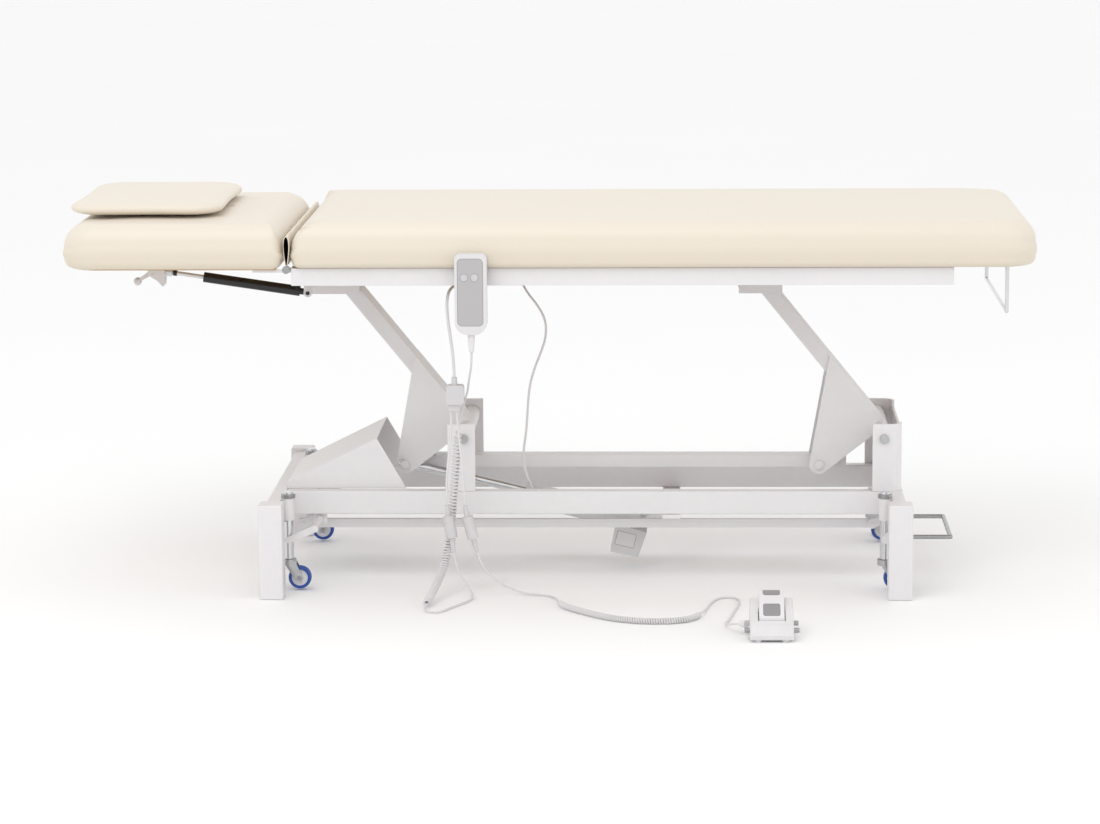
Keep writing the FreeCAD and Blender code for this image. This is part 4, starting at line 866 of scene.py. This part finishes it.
def curl(points, radius, loose, tight, rise=0.03, drawn=3):
    """Helix round a route: centre + r * (cos(a) * n + sin(a) * b), n and b carried along without twist.
    The pitch goes from loose at its start to tight at its end, and r swells from nothing over a short way,
    where the turns are also drawn out, up to four times as long. Each turn has 12 points."""
    read, run = read_line(points)
    long = run[-1]
    fine = np.linspace(0, long, 4000)
    share = np.clip(np.minimum(fine, long - fine) / rise, 0, 1)
    pitch = (loose + (tight - loose) * (fine / long)) * (1 + drawn * (1 - share * (2 - share)))
    turns = np.concatenate([[0], np.cumsum(np.diff(fine) / pitch[1:])])
    total = int(turns[-1])
    steps = np.linspace(0, total, total * 12 + 1)
    at = np.interp(steps, turns, fine)
    centre = np.stack([np.interp(at, run, read[:, k]) for k in range(3)], 1)
    tangent = np.gradient(centre, at, axis=0)
    tangent /= np.linalg.norm(tangent, axis=1)[:, None]
    normal = np.empty_like(tangent)
    side = np.cross(tangent[0], (0.3, 0.9, 0.2))
    for k, direction in enumerate(tangent):
        side = side - direction * side.dot(direction)
        side /= np.linalg.norm(side)
        normal[k] = side
    other = np.cross(tangent, normal)
    swell = np.clip(np.minimum(at, long - at) / rise, 0, 1)
    swell = (swell * (2 - swell))[:, None] * radius
    angle = (2 * math.pi * steps)[:, None]
    return centre + swell * (np.cos(angle) * normal + np.sin(angle) * other)


def lay_cord(name, points, diameter, body, nodes, detail=4):
    """One cable along its points. Its real length is read from the line itself."""
    line = new_line(name, points)
    line.resolution_u = detail
    line.bevel_depth = diameter / 2
    line.bevel_resolution = 3
    line.use_fill_caps = True
    piece = bpy.data.objects.new(name, line)
    bpy.context.collection.objects.link(piece)
    line.materials.append(sheath)
    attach(piece, body)
    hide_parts(*nodes)
    real = read_line(points, detail)[1][-1]
    return piece


trunk = in_metres([
    (-90.3, 40, 640), (-112, 37, 640), (-132, 20, 639), (-145, -15, 640), (-156, -60, 639), (-168, -105, 641),
    (-178, -150, 640), (-187, -193, 639), (-198, -232, 639), (-206, -264, 632), (-208.5, -287, 610),
    (-206, -292, 575), (-200, -292, 535), (-195.5, -290, 495), (-194, -290, 458.3)])
lay_cord("trunk", trunk, 0.0064, "top", ["trunk_cable"],
         detail=8)

first_cable = in_metres([
    (-201, -290, 387.7), (-201.5, -290.5, 355), (-205, -290, 315), (-210, -289, 270), (-213.5, -288.5, 228),
    (-212, -290, 189.3)])
lay_cord("first_cable", first_cable, 0.0048, "top", ["cable_first"],
         detail=8)

second_cable = in_metres([
    (-190, -290, 387.7), (-188, -291, 355), (-184, -292.5, 315), (-179.5, -292, 270), (-177.5, -293, 228),
    (-174, -294, 189.3)])
lay_cord("second_cable", second_cable, 0.0048, "top", ["cable_second"],
         detail=8)

handset_lead = in_metres([
    (-155, -339.5, 517.7), (-155.5, -337, 492), (-160, -320, 468), (-164, -295, 450), (-167, -272, 428),
    (-175, -267, 402), (-183, -270, 375), (-187, -272, 351.3)])
handset_coil = in_metres([
    (-187, -272, 351), (-191, -271, 306), (-199, -270.5, 206), (-206, -272, 128), (-213, -283, 86),
    (-221, -308, 55), (-232, -350, 33), (-244, -398, 14), (-251, -440, 9.3)])
handset_tail = in_metres([
    (-251, -440.3, 9.3), (-251.5, -457, 6), (-241, -471, 3.5), (-224, -474, 2.6), (-211, -461, 2.8),
    (-197, -430, 2.6), (-178, -396, 2.8), (-161, -362, 2.6), (-157, -334, 6), (-165, -313, 17),
    (-180, -304, 37), (-195.3, -302.8, 63.4), (-199, -300.1, 90.7)])
lay_cord("handset_cord", np.concatenate([handset_lead[:-1], curl(handset_coil, 0.0066, 0.0082, 0.0052),
                                         handset_tail[1:]]),
         0.0046, "top", ["handset_cord_upper", "handset_coil", "handset_cord_lower"])

foot_lead = in_metres([
    (-150, -297, 90.7), (-141.8, -298, 60.5), (-118, -299, 38), (-90, -300.5, 19), (-60, -302, 6),
    (-28, -307, 2.6), (-2, -316, 2.8), (14, -338, 2.6), (19, -364, 4), (22, -390, 6.8)])
foot_coil = in_metres([
    (22, -390.3, 6.9), (30, -425, 7), (62, -465, 6.9), (101, -510, 7), (141, -544, 6.9), (194, -565, 7),
    (256, -564, 6.9), (300, -540, 7), (316, -493, 6.9)])
foot_tail = in_metres([
    (316.1, -492.7, 6.9), (321, -466, 4), (327, -425, 2.6), (334, -388, 2.8), (343, -357, 2.6),
    (356, -332, 2.8), (382, -330, 2.6), (394, -355, 2.8), (392, -398, 2.6), (384, -445, 2.8),
    (375, -505, 2.6), (365, -560, 3.5), (361, -598, 8), (371, -630, 16), (390.8, -650.8, 21.9)])
lay_cord("foot_cord", np.concatenate([foot_lead[:-1], curl(foot_coil, 0.0044, 0.0052, 0.0050),
                                      foot_tail[1:]]),
         0.0044, "base", ["foot_cord_upper", "foot_coil", "foot_cord_lower"])

motor_cable = in_metres([
    (-76, 4.7, 642), (-76, -13, 642), (-73, -33, 639), (-65, -49, 624), (-51, -59, 600), (-30, -61, 575),
    (-13, -60, 543), (-12.5, -60.5, 507), (-24, -60, 473), (-38, -60.5, 439), (-48, -60, 403),
    (-52, -60.5, 366), (-54, -60, 330), (-57, -61, 297), (-62, -64, 266), (-62, -73, 238), (-55, -84, 212),
    (-44, -88, 190), (-38, -77, 172), (-38, -58.3, 172)])
lay_cord("motor_cable", motor_cable, 0.0048, "top", ["actuator_cable"],
         detail=8)
